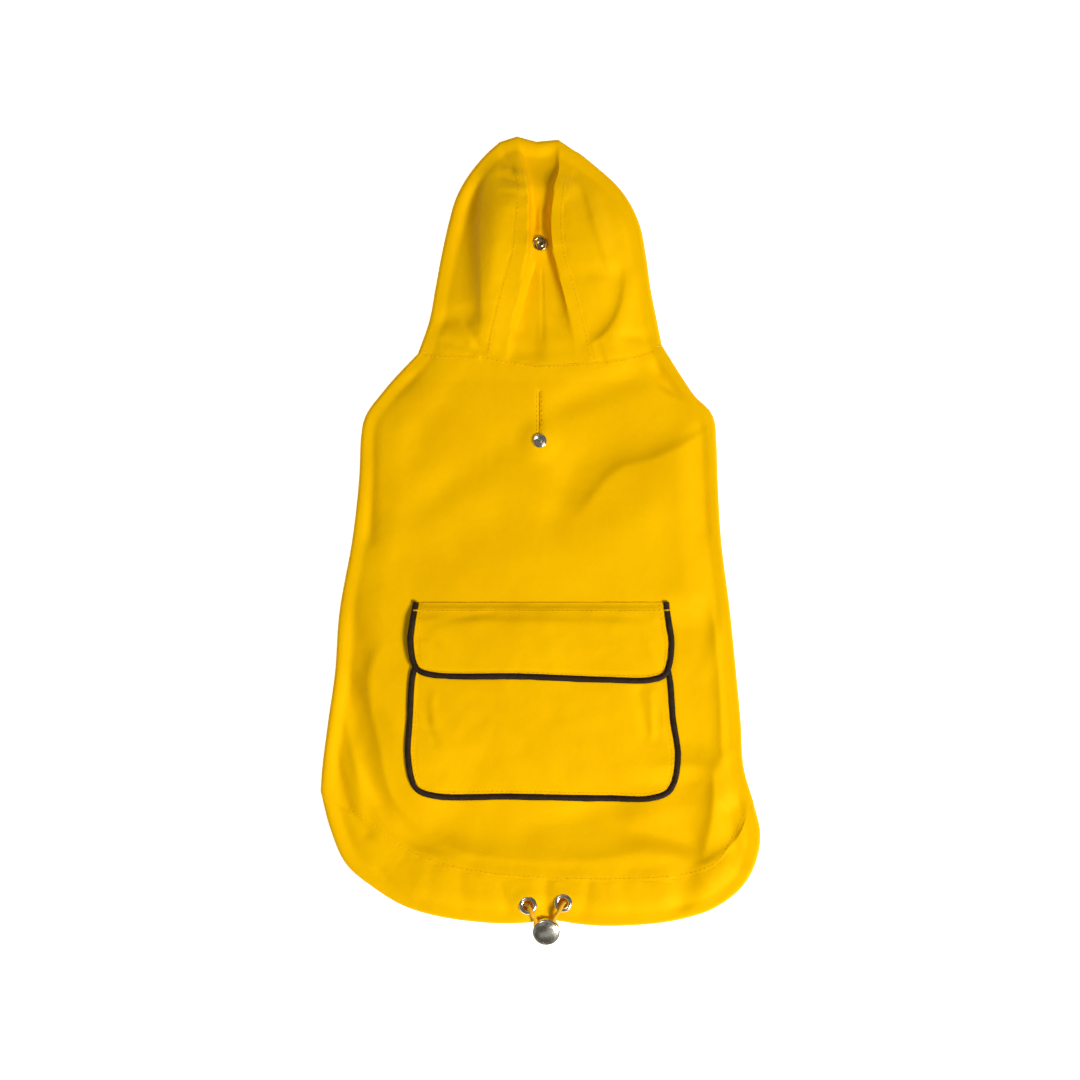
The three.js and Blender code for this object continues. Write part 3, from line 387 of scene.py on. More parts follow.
def along_floor(form, from_middle, y):
    aside, width, height, start, end, start_fade, end_fade = form
    ends = smooth((y - start) / start_fade) * smooth((end - y) / end_fade)
    return height * bell(from_middle - aside, width) * ends


def pleat_height(x, y):
    """How the pleat of the hood sinks: a flat floor between two walls, with a ridge and a crease along it."""
    left_fold, middle, right_fold, depth = (
        np.interp(y, pleat_table[:, 0], pleat_table[:, column]) for column in (2, 3, 4, 6)
    )
    from_middle = x - middle
    half = np.where(x < middle, middle - left_fold, right_fold - middle)
    share = np.minimum(np.abs(from_middle) / half, 1)
    to_right = smooth((from_middle + shallow_width / 2) / shallow_width)
    shallow = to_right * (1 - smooth((y - shallow_start) / shallow_fade))
    sunk = -depth * (1 - shallow_share * shallow) * (1 - share**wall_steepness)
    floor = along_floor(floor_ridge, from_middle, y) + along_floor(floor_crease, from_middle, y)
    return smooth((y - pleat_foot) / 10) * np.where(share < 1, sunk + floor, 0)


wave_rows, wave_columns = 80, 60
wave_net = np.random.default_rng(11).normal(size=(wave_rows, wave_columns))


def drift(x, y, size, seed=0):
    """Uneven soft waves, about as wide as size. Each seed starts at another place of the net."""
    u, v = (x + 200 + 37 * seed) / size, (y + 420 + 91 * seed) / size
    i, j = np.floor(u).astype(int), np.floor(v).astype(int)
    fu, fv = smooth(u - i), smooth(v - j)
    row, column = j % wave_rows, i % wave_columns
    next_row, next_column = (j + 1) % wave_rows, (i + 1) % wave_columns
    a, b = wave_net[row, column], wave_net[row, next_column]
    c, d = wave_net[next_row, column], wave_net[next_row, next_column]
    return (a * (1 - fu) + b * fu) * (1 - fv) + (c * (1 - fu) + d * fu) * fv


def seat_of(node, below=0.0):
    """The middle of the foot of a fitting, in millimetres from the neck seam."""
    low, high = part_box(node)
    x, y = (500 * (low[axis] + high[axis]) for axis in (0, 1))
    return np.array([x - neck_x, y - neck_y, 1000 * low[2] + below])


# The cloth lies flat under each fitting that is riveted to it: its place, then how far round it the cloth is
# pressed. The barrel of an eyelet goes down through the cloth.
eyelet_barrel = 1.4
pressed = [(seat_of("stud_hood"), 8), (seat_of("stud_back"), 11)]
pressed += [(seat_of(f"eyelet_{side}", eyelet_barrel), 9.5) for side in ("left", "right")]
seat_gap = 0.1
lowest_cloth = 1.8

# The fine form of the cloth. Its soft waves are as wide and as high as this, and folds start this far in.
wide_wave, wide_wave_height, small_wave, small_wave_height = 34, 0.28, 13, 0.1
fold_start = 9
# A seam sinks, its row of stitches too, and the cloth puckers beside it.
seam_groove_width, seam_groove_depth = 0.9, 0.3
stitch_dent_away, stitch_dent_width, stitch_dent_depth = 1.7, 0.8, 0.08
pucker_size, pucker_height, pucker_reach = 5, 0.14, 5
# A band inside each turned edge lies lower, and so do the lips of the slit.
band_inset, band_width, band_depth = 5.5, 2.6, 0.55
lip_width, lip_depth, lip_past = 1.3, 0.9, 1.2


def free_height(x, y):
    """How high the cloth stands, before its fittings press it down."""
    inside = edge_chart.read(x, y) - edge_roll
    rise_y, rises, reaches = np.array(rise_rows).T
    rise, reach_in = np.interp(y, rise_y, rises), np.interp(y, rise_y, reaches)
    waves = wide_wave_height * drift(x, y, wide_wave) + small_wave_height * drift(x, y, small_wave, 3)
    bends = fold_height(folds + creases, x, y) + tuck_height(x, y) + pleat_height(x, y) + waves
    band = -band_depth * bell(inside - band_inset, band_width)
    seam = seam_chart.read(x, y)
    pucker = pucker_height * drift(x, y, pucker_size, 5) * np.exp(-seam / pucker_reach)
    dip = -seam_groove_depth * np.clip(1 - seam / seam_groove_width, 0, 1) ** 2
    dip -= stitch_dent_depth * bell(seam - stitch_dent_away, stitch_dent_width)
    past_slit = np.maximum(0, np.maximum(y - slit_top, slit_bottom - y))
    dip -= lip_depth * bell(x - slit_x, lip_width) * bell(past_slit, lip_past)
    height = 2 * edge_roll + rise * smooth(inside / reach_in) + dip
    height += (bends + band + pucker) * smooth(inside / fold_start)
    return np.maximum(height, lowest_cloth)


def cloth_height(x, y):
    """How high the cloth stands over the table, with its fittings on it."""
    height = free_height(x, y)
    for (seat_x, seat_y, level), reach in pressed:
        lift = level + seat_gap - free_height(np.array([seat_x]), np.array([seat_y]))[0]
        away = ((x - seat_x) ** 2 + (y - seat_y) ** 2) / reach**2
        height = height + lift * np.exp(-(away**2))
    return height


# The cloth of the back: its cut, how far its edge passes the line of a seam, and how thick it is. In the
# solids the cloth is thicker, and a piece that lies on another keeps a small gap.
seam_parted = -0.05
shell_thickness = 0.55
solid_thickness, lying_gap = 1.2, 0.3
roll_steps = 9


def flat_patch(left, right, first, last, u, v):
    """Places in plan between four lines: left and right run down the patch, first and last across it."""
    u, v = np.asarray(u)[None, :, None], np.asarray(v)[:, None, None]
    l, r = left(v[:, 0, 0])[:, None, :], right(v[:, 0, 0])[:, None, :]
    f, b = first(u[0, :, 0])[None], last(u[0, :, 0])[None]
    start, end = np.array([0.0]), np.array([1.0])
    corners = (1 - u) * (1 - v) * left(start) + u * (1 - v) * right(start)
    corners = corners + (1 - u) * v * left(end) + u * v * right(end)
    return (1 - u) * l + u * r + (1 - v) * f + v * b - corners


def laid(plan, lift=0.0):
    """Places on the cloth, or this far over it."""
    z = cloth_height(plan[..., 0], plan[..., 1]) + lift
    return np.concatenate([plan, z[..., None]], axis=-1)


def toward(edge, inside):
    """Unit steps in plan from an edge into the piece."""
    step = inside - edge
    return step / np.linalg.norm(step, axis=-1, keepdims=True)


def rolled(edge, inward, under):
    """Rows of places from the top of a rolled edge, round it and back underneath."""
    turn = np.linspace(0, math.pi, roll_steps)
    tops = [
        np.column_stack([
            edge + inward * edge_roll * (1 - math.sin(t)),
            np.full(len(edge), edge_roll * (1 + math.cos(t))),
        ])
        for t in turn
    ]
    under = np.broadcast_to(under, len(edge)).astype(float)
    backs = [
        np.column_stack([edge + inward * (edge_roll + (under - edge_roll) * s)[:, None], np.zeros(len(edge))])
        for s in (0.25, 0.5, 0.75, 1.0)
    ]
    return np.stack(tops + backs, axis=1)


def facing(grid):
    """The way that a net of places faces, up or down."""
    across, down = np.gradient(grid, axis=1), np.gradient(grid, axis=0)
    normal = np.cross(across, down)
    return normal / np.maximum(np.linalg.norm(normal, axis=-1, keepdims=True), 1e-9)


def closed_between(upper, lower):
    """Points and faces of a closed sheet between two nets of places."""
    rows, columns = upper.shape[:2]
    count = rows * columns
    index = np.arange(count).reshape(rows, columns)
    top = np.stack([index[:-1, :-1], index[1:, :-1], index[1:, 1:], index[:-1, 1:]], axis=-1).reshape(-1, 4)
    border = np.concatenate([index[0, :], index[1:, -1], index[-1, -2::-1], index[-2:0:-1, 0]])
    ahead = np.roll(border, -1)
    rim = np.stack([border, ahead, ahead + count, border + count], axis=-1)
    faces = np.vstack([top, top[:, ::-1] + count, rim])
    return np.vstack([upper.reshape(-1, 3), lower.reshape(-1, 3)]), faces.tolist()


def wall_of(grid):
    """Points and faces of a thin cloth whose outer face is this net of places."""
    way = facing(grid)
    middle = way[way.shape[0] // 2, way.shape[1] // 2]
    way = way if middle[2] > 0 else -way
    inner = grid - way * shell_thickness
    inner[..., 2] = np.maximum(inner[..., 2], 0)
    return closed_between(grid, inner)


def in_place(name, points, faces):
    """A mesh in the coat's own place, from points in millimetres from the neck seam."""
    mesh = bpy.data.meshes.new(name)
    mesh.from_pydata(((np.asarray(points) + (neck_x, neck_y, 0)) / 1000).tolist(), [], faces)
    made = bpy.data.objects.new(name, mesh)
    bpy.context.collection.objects.link(made)
    return made


def piece(name, points, faces, finish, slot, *nodes):
    """A finished piece, and the nodes whose place it takes."""
    made = in_place(name, points, faces)
    mesh = made.data
    mesh.update()
    bpy.context.view_layer.objects.active = made
    made.select_set(True)
    bpy.ops.object.mode_set(mode="EDIT")
    bpy.ops.mesh.select_all(action="SELECT")
    bpy.ops.mesh.normals_make_consistent(inside=False)
    bpy.ops.object.mode_set(mode="OBJECT")
    made.select_set(False)
    mesh.polygons.foreach_set("use_smooth", [True] * len(mesh.polygons))
    mesh.set_sharp_from_angle(angle=math.radians(50))
    mesh.materials.append(finish)
    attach(made, "root")
    if nodes:
        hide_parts(*nodes)
    return made


def new_finish(name):
    finish = bpy.data.materials.new(name)
    finish.use_nodes = True
    nodes, links = finish.node_tree.nodes, finish.node_tree.links
    place = nodes.new("ShaderNodeTexCoord")
    return finish, nodes, links, nodes["Principled BSDF"], place.outputs["Object"]


def grain(nodes, links, place, size, detail=3.0, stretch=(1, 1, 1)):
    """Noise whose marks are about as large as size, in metres."""
    scaled = nodes.new("ShaderNodeMapping")
    scaled.inputs["Scale"].default_value = stretch
    links.new(place, scaled.inputs["Vector"])
    noise = nodes.new("ShaderNodeTexNoise")
    noise.inputs["Scale"].default_value = 1 / size
    noise.inputs["Detail"].default_value = detail
    links.new(scaled.outputs["Vector"], noise.inputs["Vector"])
    return noise.outputs["Fac"]


def ramp(nodes, links, value, low, high, low_at=0.3, high_at=0.7):
    blend = nodes.new("ShaderNodeValToRGB")
    blend.color_ramp.elements[0].color = (*low, 1)
    blend.color_ramp.elements[1].color = (*high, 1)
    blend.color_ramp.elements[0].position = low_at
    blend.color_ramp.elements[1].position = high_at
    links.new(value, blend.inputs["Fac"])
    return blend.outputs["Color"]


def relief(nodes, links, height, depth, under=None):
    bump = nodes.new("ShaderNodeBump")
    bump.inputs["Distance"].default_value = depth
    links.new(height, bump.inputs["Height"])
    if under is not None:
        links.new(under, bump.inputs["Normal"])
    return bump.outputs["Normal"]


yellow_tint = (1, 0.7, 0.03, 1)
weave_pitch = 0.0022


def coated_cloth(name, low, high):
    """Smooth coated cloth: even yellow, faintly clouded, with a fine weave and soft handling marks."""
    finish, nodes, links, surface, place = new_finish(name)
    clouds = grain(nodes, links, place, 0.045, 4)
    links.new(ramp(nodes, links, clouds, low, high), surface.inputs["Base Color"])
    shine = grain(nodes, links, place, 0.012)
    links.new(ramp(nodes, links, shine, (0.44,) * 3, (0.56,) * 3), surface.inputs["Roughness"])
    surface.inputs["Specular IOR Level"].default_value = 0.2
    surface.inputs["Specular Tint"].default_value = yellow_tint
    weave = nodes.new("ShaderNodeMath")
    weave.operation = "MULTIPLY"
    for number, direction in enumerate(("X", "Y")):
        threads = nodes.new("ShaderNodeTexWave")
        threads.bands_direction = direction
        threads.inputs["Scale"].default_value = 1 / weave_pitch
        threads.inputs["Distortion"].default_value = 0.6
        links.new(place, threads.inputs["Vector"])
        links.new(threads.outputs["Fac"], weave.inputs[number])
    marks = relief(nodes, links, grain(nodes, links, place, 0.006, 4), 0.00022)
    links.new(relief(nodes, links, weave.outputs["Value"], 0.00003, marks), surface.inputs["Normal"])
    return finish


yellow_cloth = coated_cloth("yellow_coated_cloth", (0.91, 0.475, 0.0), (0.975, 0.525, 0.0))

body_v = np.linspace(0.0075, 0.9925, 175)
body_v = np.concatenate([[0, 0.0011, 0.0026, 0.0046], body_v, [0.9954, 0.9974, 0.9989, 1]])
parted = seam_parted / body_left.length
body_v = parted + body_v * (1 - 2 * parted)
body_u = np.linspace(0.0165, 0.9835, 132)


def body_plan(u, v):
    return flat_patch(body_left.at, body_right.at, neck_seam.at, hem_seam.at, u, v)


left_edge, right_edge = body_left.at(body_v), body_right.at(body_v)
inner_share = 0.045
left_in = toward(left_edge, body_plan([inner_share], body_v)[:, 0])
right_in = toward(right_edge, body_plan([1 - inner_share], body_v)[:, 0])
back_grid = np.concatenate(
    [
        rolled(left_edge, left_in, turned_under)[:, ::-1],
        laid(body_plan(body_u, body_v)),
        rolled(right_edge, right_in, turned_under),
    ],
    axis=1,
)
back = piece("back_cloth", *wall_of(back_grid), yellow_cloth, "coated_cloth", "back_panel")

slit_half = slit_width / 2
slit_ring = []
for way, end in ((slit_half, slit_top - slit_half), (-slit_half, slit_bottom + slit_half)):
    slit_ring += [(slit_x + way * math.cos(t), end + way * math.sin(t)) for t in np.linspace(0, math.pi, 9)]


def prism(name, ring, low, high):
    """An upright block with this outline, only ever used to cut with."""
    count = len(ring)
    sides = [(k, (k + 1) % count, count + (k + 1) % count, count + k) for k in range(count)]
    caps = [tuple(range(count))[::-1], tuple(range(count, 2 * count))]
    return in_place(name, [(x, y, z) for z in (low, high) for x, y in ring], caps + sides)


def cut_out(made, knife):
    cut = made.modifiers.new("cut", "BOOLEAN")
    cut.operation = "DIFFERENCE"
    cut.object = knife
    cut.solver = "EXACT"
    bpy.context.view_layer.objects.active = made
    bpy.ops.object.modifier_apply(modifier="cut")
    bpy.data.objects.remove(knife)


slit_knife_low, slit_knife_high = 4, 14
cut_out(back, prism("slit_knife", slit_ring, slit_knife_low, slit_knife_high))

# The casing of the hem is a strip of the same cloth, folded in two along the lower edge and sewn to the back
# panel. The elastic runs inside it, and two round holes in its upper layer take the eyelets.
hem_seam_short = 8
hem_end = hem_seam_short / hem_seam.length
hem_end_gap = lying_gap / hem_edge.length
hem_t = np.linspace(0, 1, 300)
hem_across = np.concatenate([[0, 0.02, 0.05, 0.09, 0.14], np.linspace(0.2, 0.83, 10), [0.89, 0.95]])
hem_side = hem_edge.at(hem_end_gap + hem_t * (1 - 2 * hem_end_gap))
hem_top = hem_seam.beside(hem_end + hem_t * (1 - 2 * hem_end), -seam_parted)
hem_in = toward(hem_side, hem_top)
hem_width = np.linalg.norm(hem_top - hem_side, axis=1)
hem_rolled = hem_side + hem_in * edge_roll
hem_plan = hem_top[:, None] + (hem_rolled - hem_top)[:, None] * hem_across[None, :, None]
hem_grid = np.concatenate([laid(hem_plan), rolled(hem_side, hem_in, hem_width - 1)], axis=1)
hem = piece("hem_cloth", *wall_of(hem_grid), yellow_cloth, "coated_cloth", "hem_band")
eyelet_places = {"left": (-7.7, -338.4), "right": (14.4, -336.9)}
eyelet_hole, hole_knife_low, hole_knife_high = 3.5, 4.5, 13
circle = np.linspace(0, 2 * math.pi, 28, endpoint=False)
for side, (x, y) in eyelet_places.items():
    ring = [(x + eyelet_hole * math.cos(t), y + eyelet_hole * math.sin(t)) for t in circle]
    cut_out(hem, prism("hole_knife", ring, hole_knife_low, hole_knife_high))

# The hood is three panels of the same cloth: two sides, and a centre whose pleat is folded inwards and held
# shut by a press stud. Their front edges are folded under, and curved seams join them to each other and to
# the neck.
seam_rows = [0, 0.005, 0.012, 0.022]
hood_v = np.concatenate([seam_rows, np.linspace(0.034, 0.978, 84), [0.989]])
hood_gap = seam_parted / pleat_middle.length
crown_turn = 119


def hood_side(seam_line, edge_line, outward):
    """One side of the hood, from its seam to its edge. Above crown_turn the seam is its upper end."""
    turn = seam_line.share_where(1, crown_turn)
    v = np.concatenate([seam_rows, np.linspace(0.034, 0.98, 92), [0.99, 1]])
    u = np.concatenate([[0, 0.012, 0.03, 0.06], np.linspace(0.1, 0.975, 27)])
    gap = seam_parted / edge_line.length

    def seam_at(v):
        return seam_line.beside(hood_gap + np.asarray(v) * (turn - hood_gap), -outward * seam_parted)

    def edge_at(v):
        return edge_line.at(gap + np.asarray(v) * (1 - 2 * gap))

    neck_start = neck_seam.share_where(0, seam_line.at(0)[0])
    neck_roll = edge_roll / neck_seam.length
    neck_end = 1 - neck_roll if outward > 0 else neck_roll
    crown_end = 1 - edge_roll / seam_line.length
    plan = flat_patch(
        seam_at,
        lambda v: edge_at(v) + toward(edge_at(v), seam_at(v)) * edge_roll,
        lambda u: neck_seam.beside(neck_start + np.asarray(u) * (neck_end - neck_start), seam_parted),
        lambda u: seam_line.beside(turn + np.asarray(u) * (crown_end - turn), -outward * seam_parted),
        u,
        v,
    )
    inward = toward(edge_at(v), seam_at(v))
    return np.concatenate([laid(plan), rolled(edge_at(v), inward, hood_turned_under)], axis=1)


for side, seam_line, edge_line, outward in (
    ("left", hood_seam_left, hood_left_edge, -1),
    ("right", hood_seam_right, hood_right_edge, 1),
):
    grid = hood_side(seam_line, edge_line, outward)
    side_piece = piece(f"hood_cloth_{side}", *wall_of(grid), yellow_cloth, "coated_cloth", f"hood_{side}")

# Across the centre panel: from one line to the next, and in how many steps.
stretches = [
    (hood_seam_left, pleat_left, 9), (pleat_left, pleat_middle, 17), (pleat_middle, pleat_right, 17),
    (pleat_right, hood_seam_right, 9),
]
foot_share = 0.12
rows_up = hood_gap + np.concatenate([hood_v, [1]]) * (1 - hood_gap)
centre_columns = []
for first_line, last_line, steps in stretches:
    start, end = first_line.at(rows_up), last_line.at(rows_up)
    centre_columns += [start * (1 - share) + end * share for share in np.linspace(0, 1, steps + 1)[:-1]]
centre_plan = np.stack(centre_columns + [end], axis=1)
foot = centre_plan[0]
foot_gap = np.interp(foot[:, 0], *neck_seam.points.T) + seam_parted - foot[:, 1]
centre_plan[..., 1] += foot_gap[None] * smooth(1 - rows_up / foot_share)[:, None]
over = centre_plan[:, -1] - centre_plan[:, 0]
over /= np.linalg.norm(over, axis=1, keepdims=True)
centre_plan[:, 0] += over * seam_parted
centre_plan[:, -1] -= over * seam_parted
top_edge = centre_plan[-1]
top_in = toward(top_edge, centre_plan[-4])
mid_column, roll_room = 12, 3.4
keep = edge_chart.read(centre_plan[:, mid_column, 0], centre_plan[:, mid_column, 1]) > roll_room
keep[-1] = False
centre_top = laid(centre_plan[keep])
centre_roll = np.swapaxes(rolled(top_edge, top_in, hood_turned_under), 0, 1)
centre_grid = np.concatenate([centre_top, centre_roll], axis=0)
centre_piece = piece("hood_cloth_centre", *wall_of(centre_grid), yellow_cloth, "coated_cloth", "hood_centre")

# The chest panel and the belly strap lie flat under the back panel, sewn to its turned-under sides. They are
# plain pieces of the same cloth, with a narrow hem at their free edges.
under_inset = turned_under + lying_gap
under_thickness, under_hem, hem_rows = 0.9, 0.25, 3
row_count = 28
row_end = lying_gap / 2 / body_left.length
cad_rows = np.linspace(row_end, 1 - row_end, row_count + 1)


def under_piece(name, node, rows, scoops):
    """A piece between two rows of the solids, with its free edges scooped towards the hem by this much."""
    v = np.linspace(cad_rows[rows[0]], cad_rows[rows[1]], 40)
    left, right = body_left.at(v), body_right.at(v)
    start = left + toward(left, body_plan([inner_share], v)[:, 0]) * under_inset
    end = right + toward(right, body_plan([1 - inner_share], v)[:, 0]) * under_inset
    u = np.linspace(0, 1, 60)
    plan = start[:, None] + (end - start)[:, None] * u[None, :, None]
    scoop = np.linspace(*scoops, len(v))
    plan[..., 1] -= scoop[:, None] * np.sin(np.pi * u)[None]
    edge = np.minimum(np.arange(len(v)), np.arange(len(v))[::-1])
    hemmed = np.where(edge < hem_rows, 0.0, under_hem)[:, None] + np.zeros(len(u))[None]
    soft = 0.12 * drift(plan[..., 0], plan[..., 1], 22, 7)
    lower = np.concatenate([plan, (hemmed + np.abs(soft))[..., None]], axis=-1)
    sheet = closed_between(lower + (0, 0, under_thickness), lower)
    made = piece(name, *sheet, yellow_cloth, "coated_cloth", node)


under_piece("chest_cloth", "chest_panel", rows=(0, 10), scoops=(14, -16))
under_piece("belly_cloth", "belly_strap", rows=(15, 18), scoops=(0, 0))

# The pocket is a patch of the same cloth with a flap sewn on over its mouth. Both are bound by black corded
# piping: a woven strip wrapped round a cord and caught in the seam.
piping_width, piping_height = 3.6, 2.0
pocket_sides = [
    (-158, -75, 76), (-182, -75.4, 76.6), (-193, -79.6, 80.4), (-222, -81.7, 83.1), (-246, -82.7, 86.2),
]
flap_sides = [(-148.6, -77.7, 78.7), (-161.4, -79.9, 80.2), (-175.4, -81, 82)]
pocket_width, pocket_height, flap_height = 158, 108, 45
flap_lift, flap_sewn, flap_rise = 2.6, 1, 12
pocket_swell, flap_swell = 0.9, 0.8


def piping_path(rows, bottom_left, bottom_right, radius):
    """The line of the piping: down the left side, round two bends and up the right side."""
    bend = (1 - math.sqrt(0.5)) * radius
    last = rows[-1]
    spread = (bottom_right - bottom_left) / 3
    points = [(left, y) for y, left, right in rows]
    points += [(last[1] + bend, bottom_left + bend), (last[1] + radius, bottom_left)]
    points += [(-radius, bottom_left + spread), (last[2] / 2, bottom_right)]
    points += [(last[2] - radius, bottom_right), (last[2] - bend, bottom_right + bend)]
    points += [(right, y) for y, left, right in rows[::-1]]
    return Line(points)


pocket_path = piping_path(pocket_sides, -270, -271.8, 17)
flap_path = piping_path(flap_sides, -194, -197.2, 13)


def pocket_level(x, y):
    """How far the pocket lies over the back."""
    return np.full(np.shape(x), lying_gap)


def flap_level(x, y):
    """How far the flap lies over the back: close to it where it is sewn on, and over the pocket below."""
    below = flap_sides[0][0] - flap_sewn - y
    return lying_gap + (flap_lift - lying_gap) * smooth(below / flap_rise)


pocket_folds = [
    (62, -206, 66, -232, 3.2, -0.7), (69.5, -206, 70.5, -230, 2.4, 0.6), (73.5, -218, 73, -234, 2.2, -0.5),
    (-67, -208, -67, -224, 2.8, 0.6), (-70, -222, -66, -236, 3, -0.6), (-76, -206, -72, -212, 1.6, -0.3),
    (-76, -216, -71, -220, 1.6, -0.35), (-76, -226, -70, -229, 1.8, -0.35), (-40, -196, -20, -236, 16, -0.35),
    (20, -206, 50, -240, 14, 0.35), (-70, -262, -40, -250, 8, -0.4), (20, -250, 64, -258, 9, -0.35),
]
flap_folds = [
    (-70, -157, 66, -158.5, 3, -0.5), (-30, -155, -66, -162, 2.4, -0.35), (-74, -166, -66, -172, 3, -0.4),
    (-77, -170, -72, -171, 1.4, -0.3), (40, -158, 72, -162, 4, -0.35), (68, -176, 72, -186, 3, 0.35),
    (-20, -170, 30, -180, 14, 0.3),
]
patch_wave, patch_wave_height = 9, 0.12
piped_groove_inset, piped_groove_width, piped_groove_depth = 2.2, 0.7, 0.22
piped_pucker, piped_pucker_height = 4.5, 0.1
patch_fade, patch_fold_fade = 4, 5


def piped_patch(path, level, swell, folds_here, rows_down, height_down, top_drop):
    """A patch inside its piping, swelled a little, with a groove and puckers where it is stitched."""
    inset = piping_width / 2 + lying_gap
    lengths = np.linspace(0.02, 0.5, 300)
    turn = np.argmax(np.abs(path.along(lengths)[:, 1]) < math.sqrt(0.5))
    corner_share = lengths[turn]
    ends = path.beside(np.array([0.0, 1.0]), inset)
    u = np.concatenate([[0, 0.006, 0.014], np.linspace(0.026, 0.974, 104), [0.986, 0.994, 1]])
    v = np.concatenate([[0, 0.008, 0.02], np.linspace(0.04, 0.97, rows_down), [0.984, 0.993, 1]])
    plan = flat_patch(
        lambda s: path.beside(np.asarray(s) * corner_share, inset),
        lambda s: path.beside(1 - np.asarray(s) * corner_share, inset),
        lambda s: ends[0] + (ends[1] - ends[0]) * np.asarray(s)[..., None],
        lambda s: path.beside(corner_share + np.asarray(s) * (1 - 2 * corner_share), inset),
        u,
        v,
    )
    x, y = plan[..., 0], plan[..., 1]
    uu, vv = np.meshgrid(u, v)
    rise = swell * np.sin(np.pi * uu) * np.sin(np.pi * vv)
    near = np.minimum(np.minimum(uu, 1 - uu) * pocket_width, np.minimum(vv, 1 - vv) * height_down)
    own = fold_height(folds_here, x, y) * smooth(near / patch_fold_fade)
    own += patch_wave_height * drift(x, y, patch_wave, 9) * smooth(near / patch_fade)
    groove = -piped_groove_depth * bell(near - piped_groove_inset, piped_groove_width)
    groove += piped_pucker_height * drift(x, y, piped_pucker, 2) * np.exp(-near / patch_fade)
    groove -= top_drop * (1 - smooth(vv * height_down / patch_fade))
    return laid(plan, level(x, y) + solid_thickness + rise + own + groove)


pocket_grid = piped_patch(pocket_path, pocket_level, pocket_swell, pocket_folds, 74, pocket_height, 0)
pocket = piece("pocket_cloth", *wall_of(pocket_grid), yellow_cloth, "coated_cloth", "pocket")
flap_grid = piped_patch(flap_path, flap_level, flap_swell, flap_folds, 40, flap_height, 0.9)
flap = piece("flap_cloth", *wall_of(flap_grid), yellow_cloth, "coated_cloth", "pocket_flap")


def ring_faces(count, sides):
    """Faces between rings that follow each other."""
    index = np.arange(count * sides).reshape(count, sides)
    ahead = np.roll(index, -1, axis=1)
    return np.stack([index[:-1], ahead[:-1], ahead[1:], index[1:]], axis=-1).reshape(-1, 4).tolist()


def tube(centres, across, up, half_width, half_height, sides=16):
    """A closed tube through centres, wider or flatter as its two half sizes say."""
    turn = np.linspace(0, 2 * math.pi, sides, endpoint=False)
    rings = (
        centres[:, None]
        + across[:, None] * (half_width * np.cos(turn))[None, :, None]
        + up[:, None] * (half_height * np.sin(turn))[None, :, None]
    )
    count = len(centres)
    ends = [list(range(sides))[::-1], list(range((count - 1) * sides, count * sides))]
    return rings.reshape(-1, 3), ring_faces(count, sides) + ends


def woven_strip(name, low, high, roughness, threads, depth, fluff):
    """A plain woven strip or braid: two crossing sets of threads, with clouding and a little fluff."""
    finish, nodes, links, surface, place = new_finish(name)
    clouds = grain(nodes, links, place, 0.004, 4)
    links.new(ramp(nodes, links, clouds, low, high), surface.inputs["Base Color"])
    surface.inputs["Roughness"].default_value = roughness
    surface.inputs["Specular IOR Level"].default_value = 0.16
    surface.inputs["Sheen Weight"].default_value = fluff
    crossing = nodes.new("ShaderNodeMath")
    crossing.operation = "MAXIMUM"
    for number, slant in enumerate((0.78, -0.78)):
        slanted = nodes.new("ShaderNodeMapping")
        slanted.inputs["Rotation"].default_value = (0, 0, slant)
        links.new(place, slanted.inputs["Vector"])
        strands = nodes.new("ShaderNodeTexWave")
        strands.inputs["Scale"].default_value = threads
        strands.inputs["Distortion"].default_value = 0.8
        links.new(slanted.outputs["Vector"], strands.inputs["Vector"])
        links.new(strands.outputs["Fac"], crossing.inputs[number])
    links.new(relief(nodes, links, crossing.outputs["Value"], depth), surface.inputs["Normal"])
    return finish


black_low, black_high = (0.014, 0.007, 0.002), (0.032, 0.015, 0.004)
black_strip = woven_strip("black_piping_cloth", black_low, black_high, 0.6, 260, 0.00008, 0.02)


def upright(plan):
    """The way the cloth faces at places in plan."""
    step = 0.7
    x, y = plan[:, 0], plan[:, 1]
    slope_x = (cloth_height(x + step, y) - cloth_height(x - step, y)) / (2 * step)
    slope_y = (cloth_height(x, y + step) - cloth_height(x, y - step)) / (2 * step)
    way = np.column_stack([-slope_x, -slope_y, np.ones(len(plan))])
    return way / np.linalg.norm(way, axis=1, keepdims=True)


piping_pitch, piping_sides, piping_uneven = 1.5, 20, 0.05


def piping(name, node, path, level):
    """A strip wrapped round its cord, slightly uneven in its thickness."""
    shares = np.linspace(0, 1, int(path.length / piping_pitch))
    plan = path.at(shares)
    up = upright(plan)
    ahead = path.along(shares)
    across = np.column_stack([-ahead[:, 1], ahead[:, 0], np.zeros(len(plan))])
    lift = level(plan[:, 0], plan[:, 1]) + piping_height / 2
    centres = laid(plan) + up * lift[:, None]
    swell = 1 + piping_uneven * drift(plan[:, 0], plan[:, 1], 6, 4)
    points, faces = tube(centres, across, up, piping_width / 2, piping_height / 2, piping_sides)
    middle = np.repeat(centres, piping_sides, axis=0)
    points = middle + (points - middle) * np.repeat(swell, piping_sides)[:, None]
    return piece(name, points, faces, black_strip, "piping", node)


piping("pocket_piping_strip", "pocket_piping", pocket_path, pocket_level)
piping("flap_piping_strip", "flap_piping", flap_path, flap_level)

# The stitches are yellow thread, about eight to the inch. They hold the seams, the buttonhole, the pocket and
# the flap, and a short bar of thread crosses the piping at each upper corner of the flap.
thread_radius, thread_sides, stitch_length, stitch_pitch = 0.2, 6, 2.3, 3.0


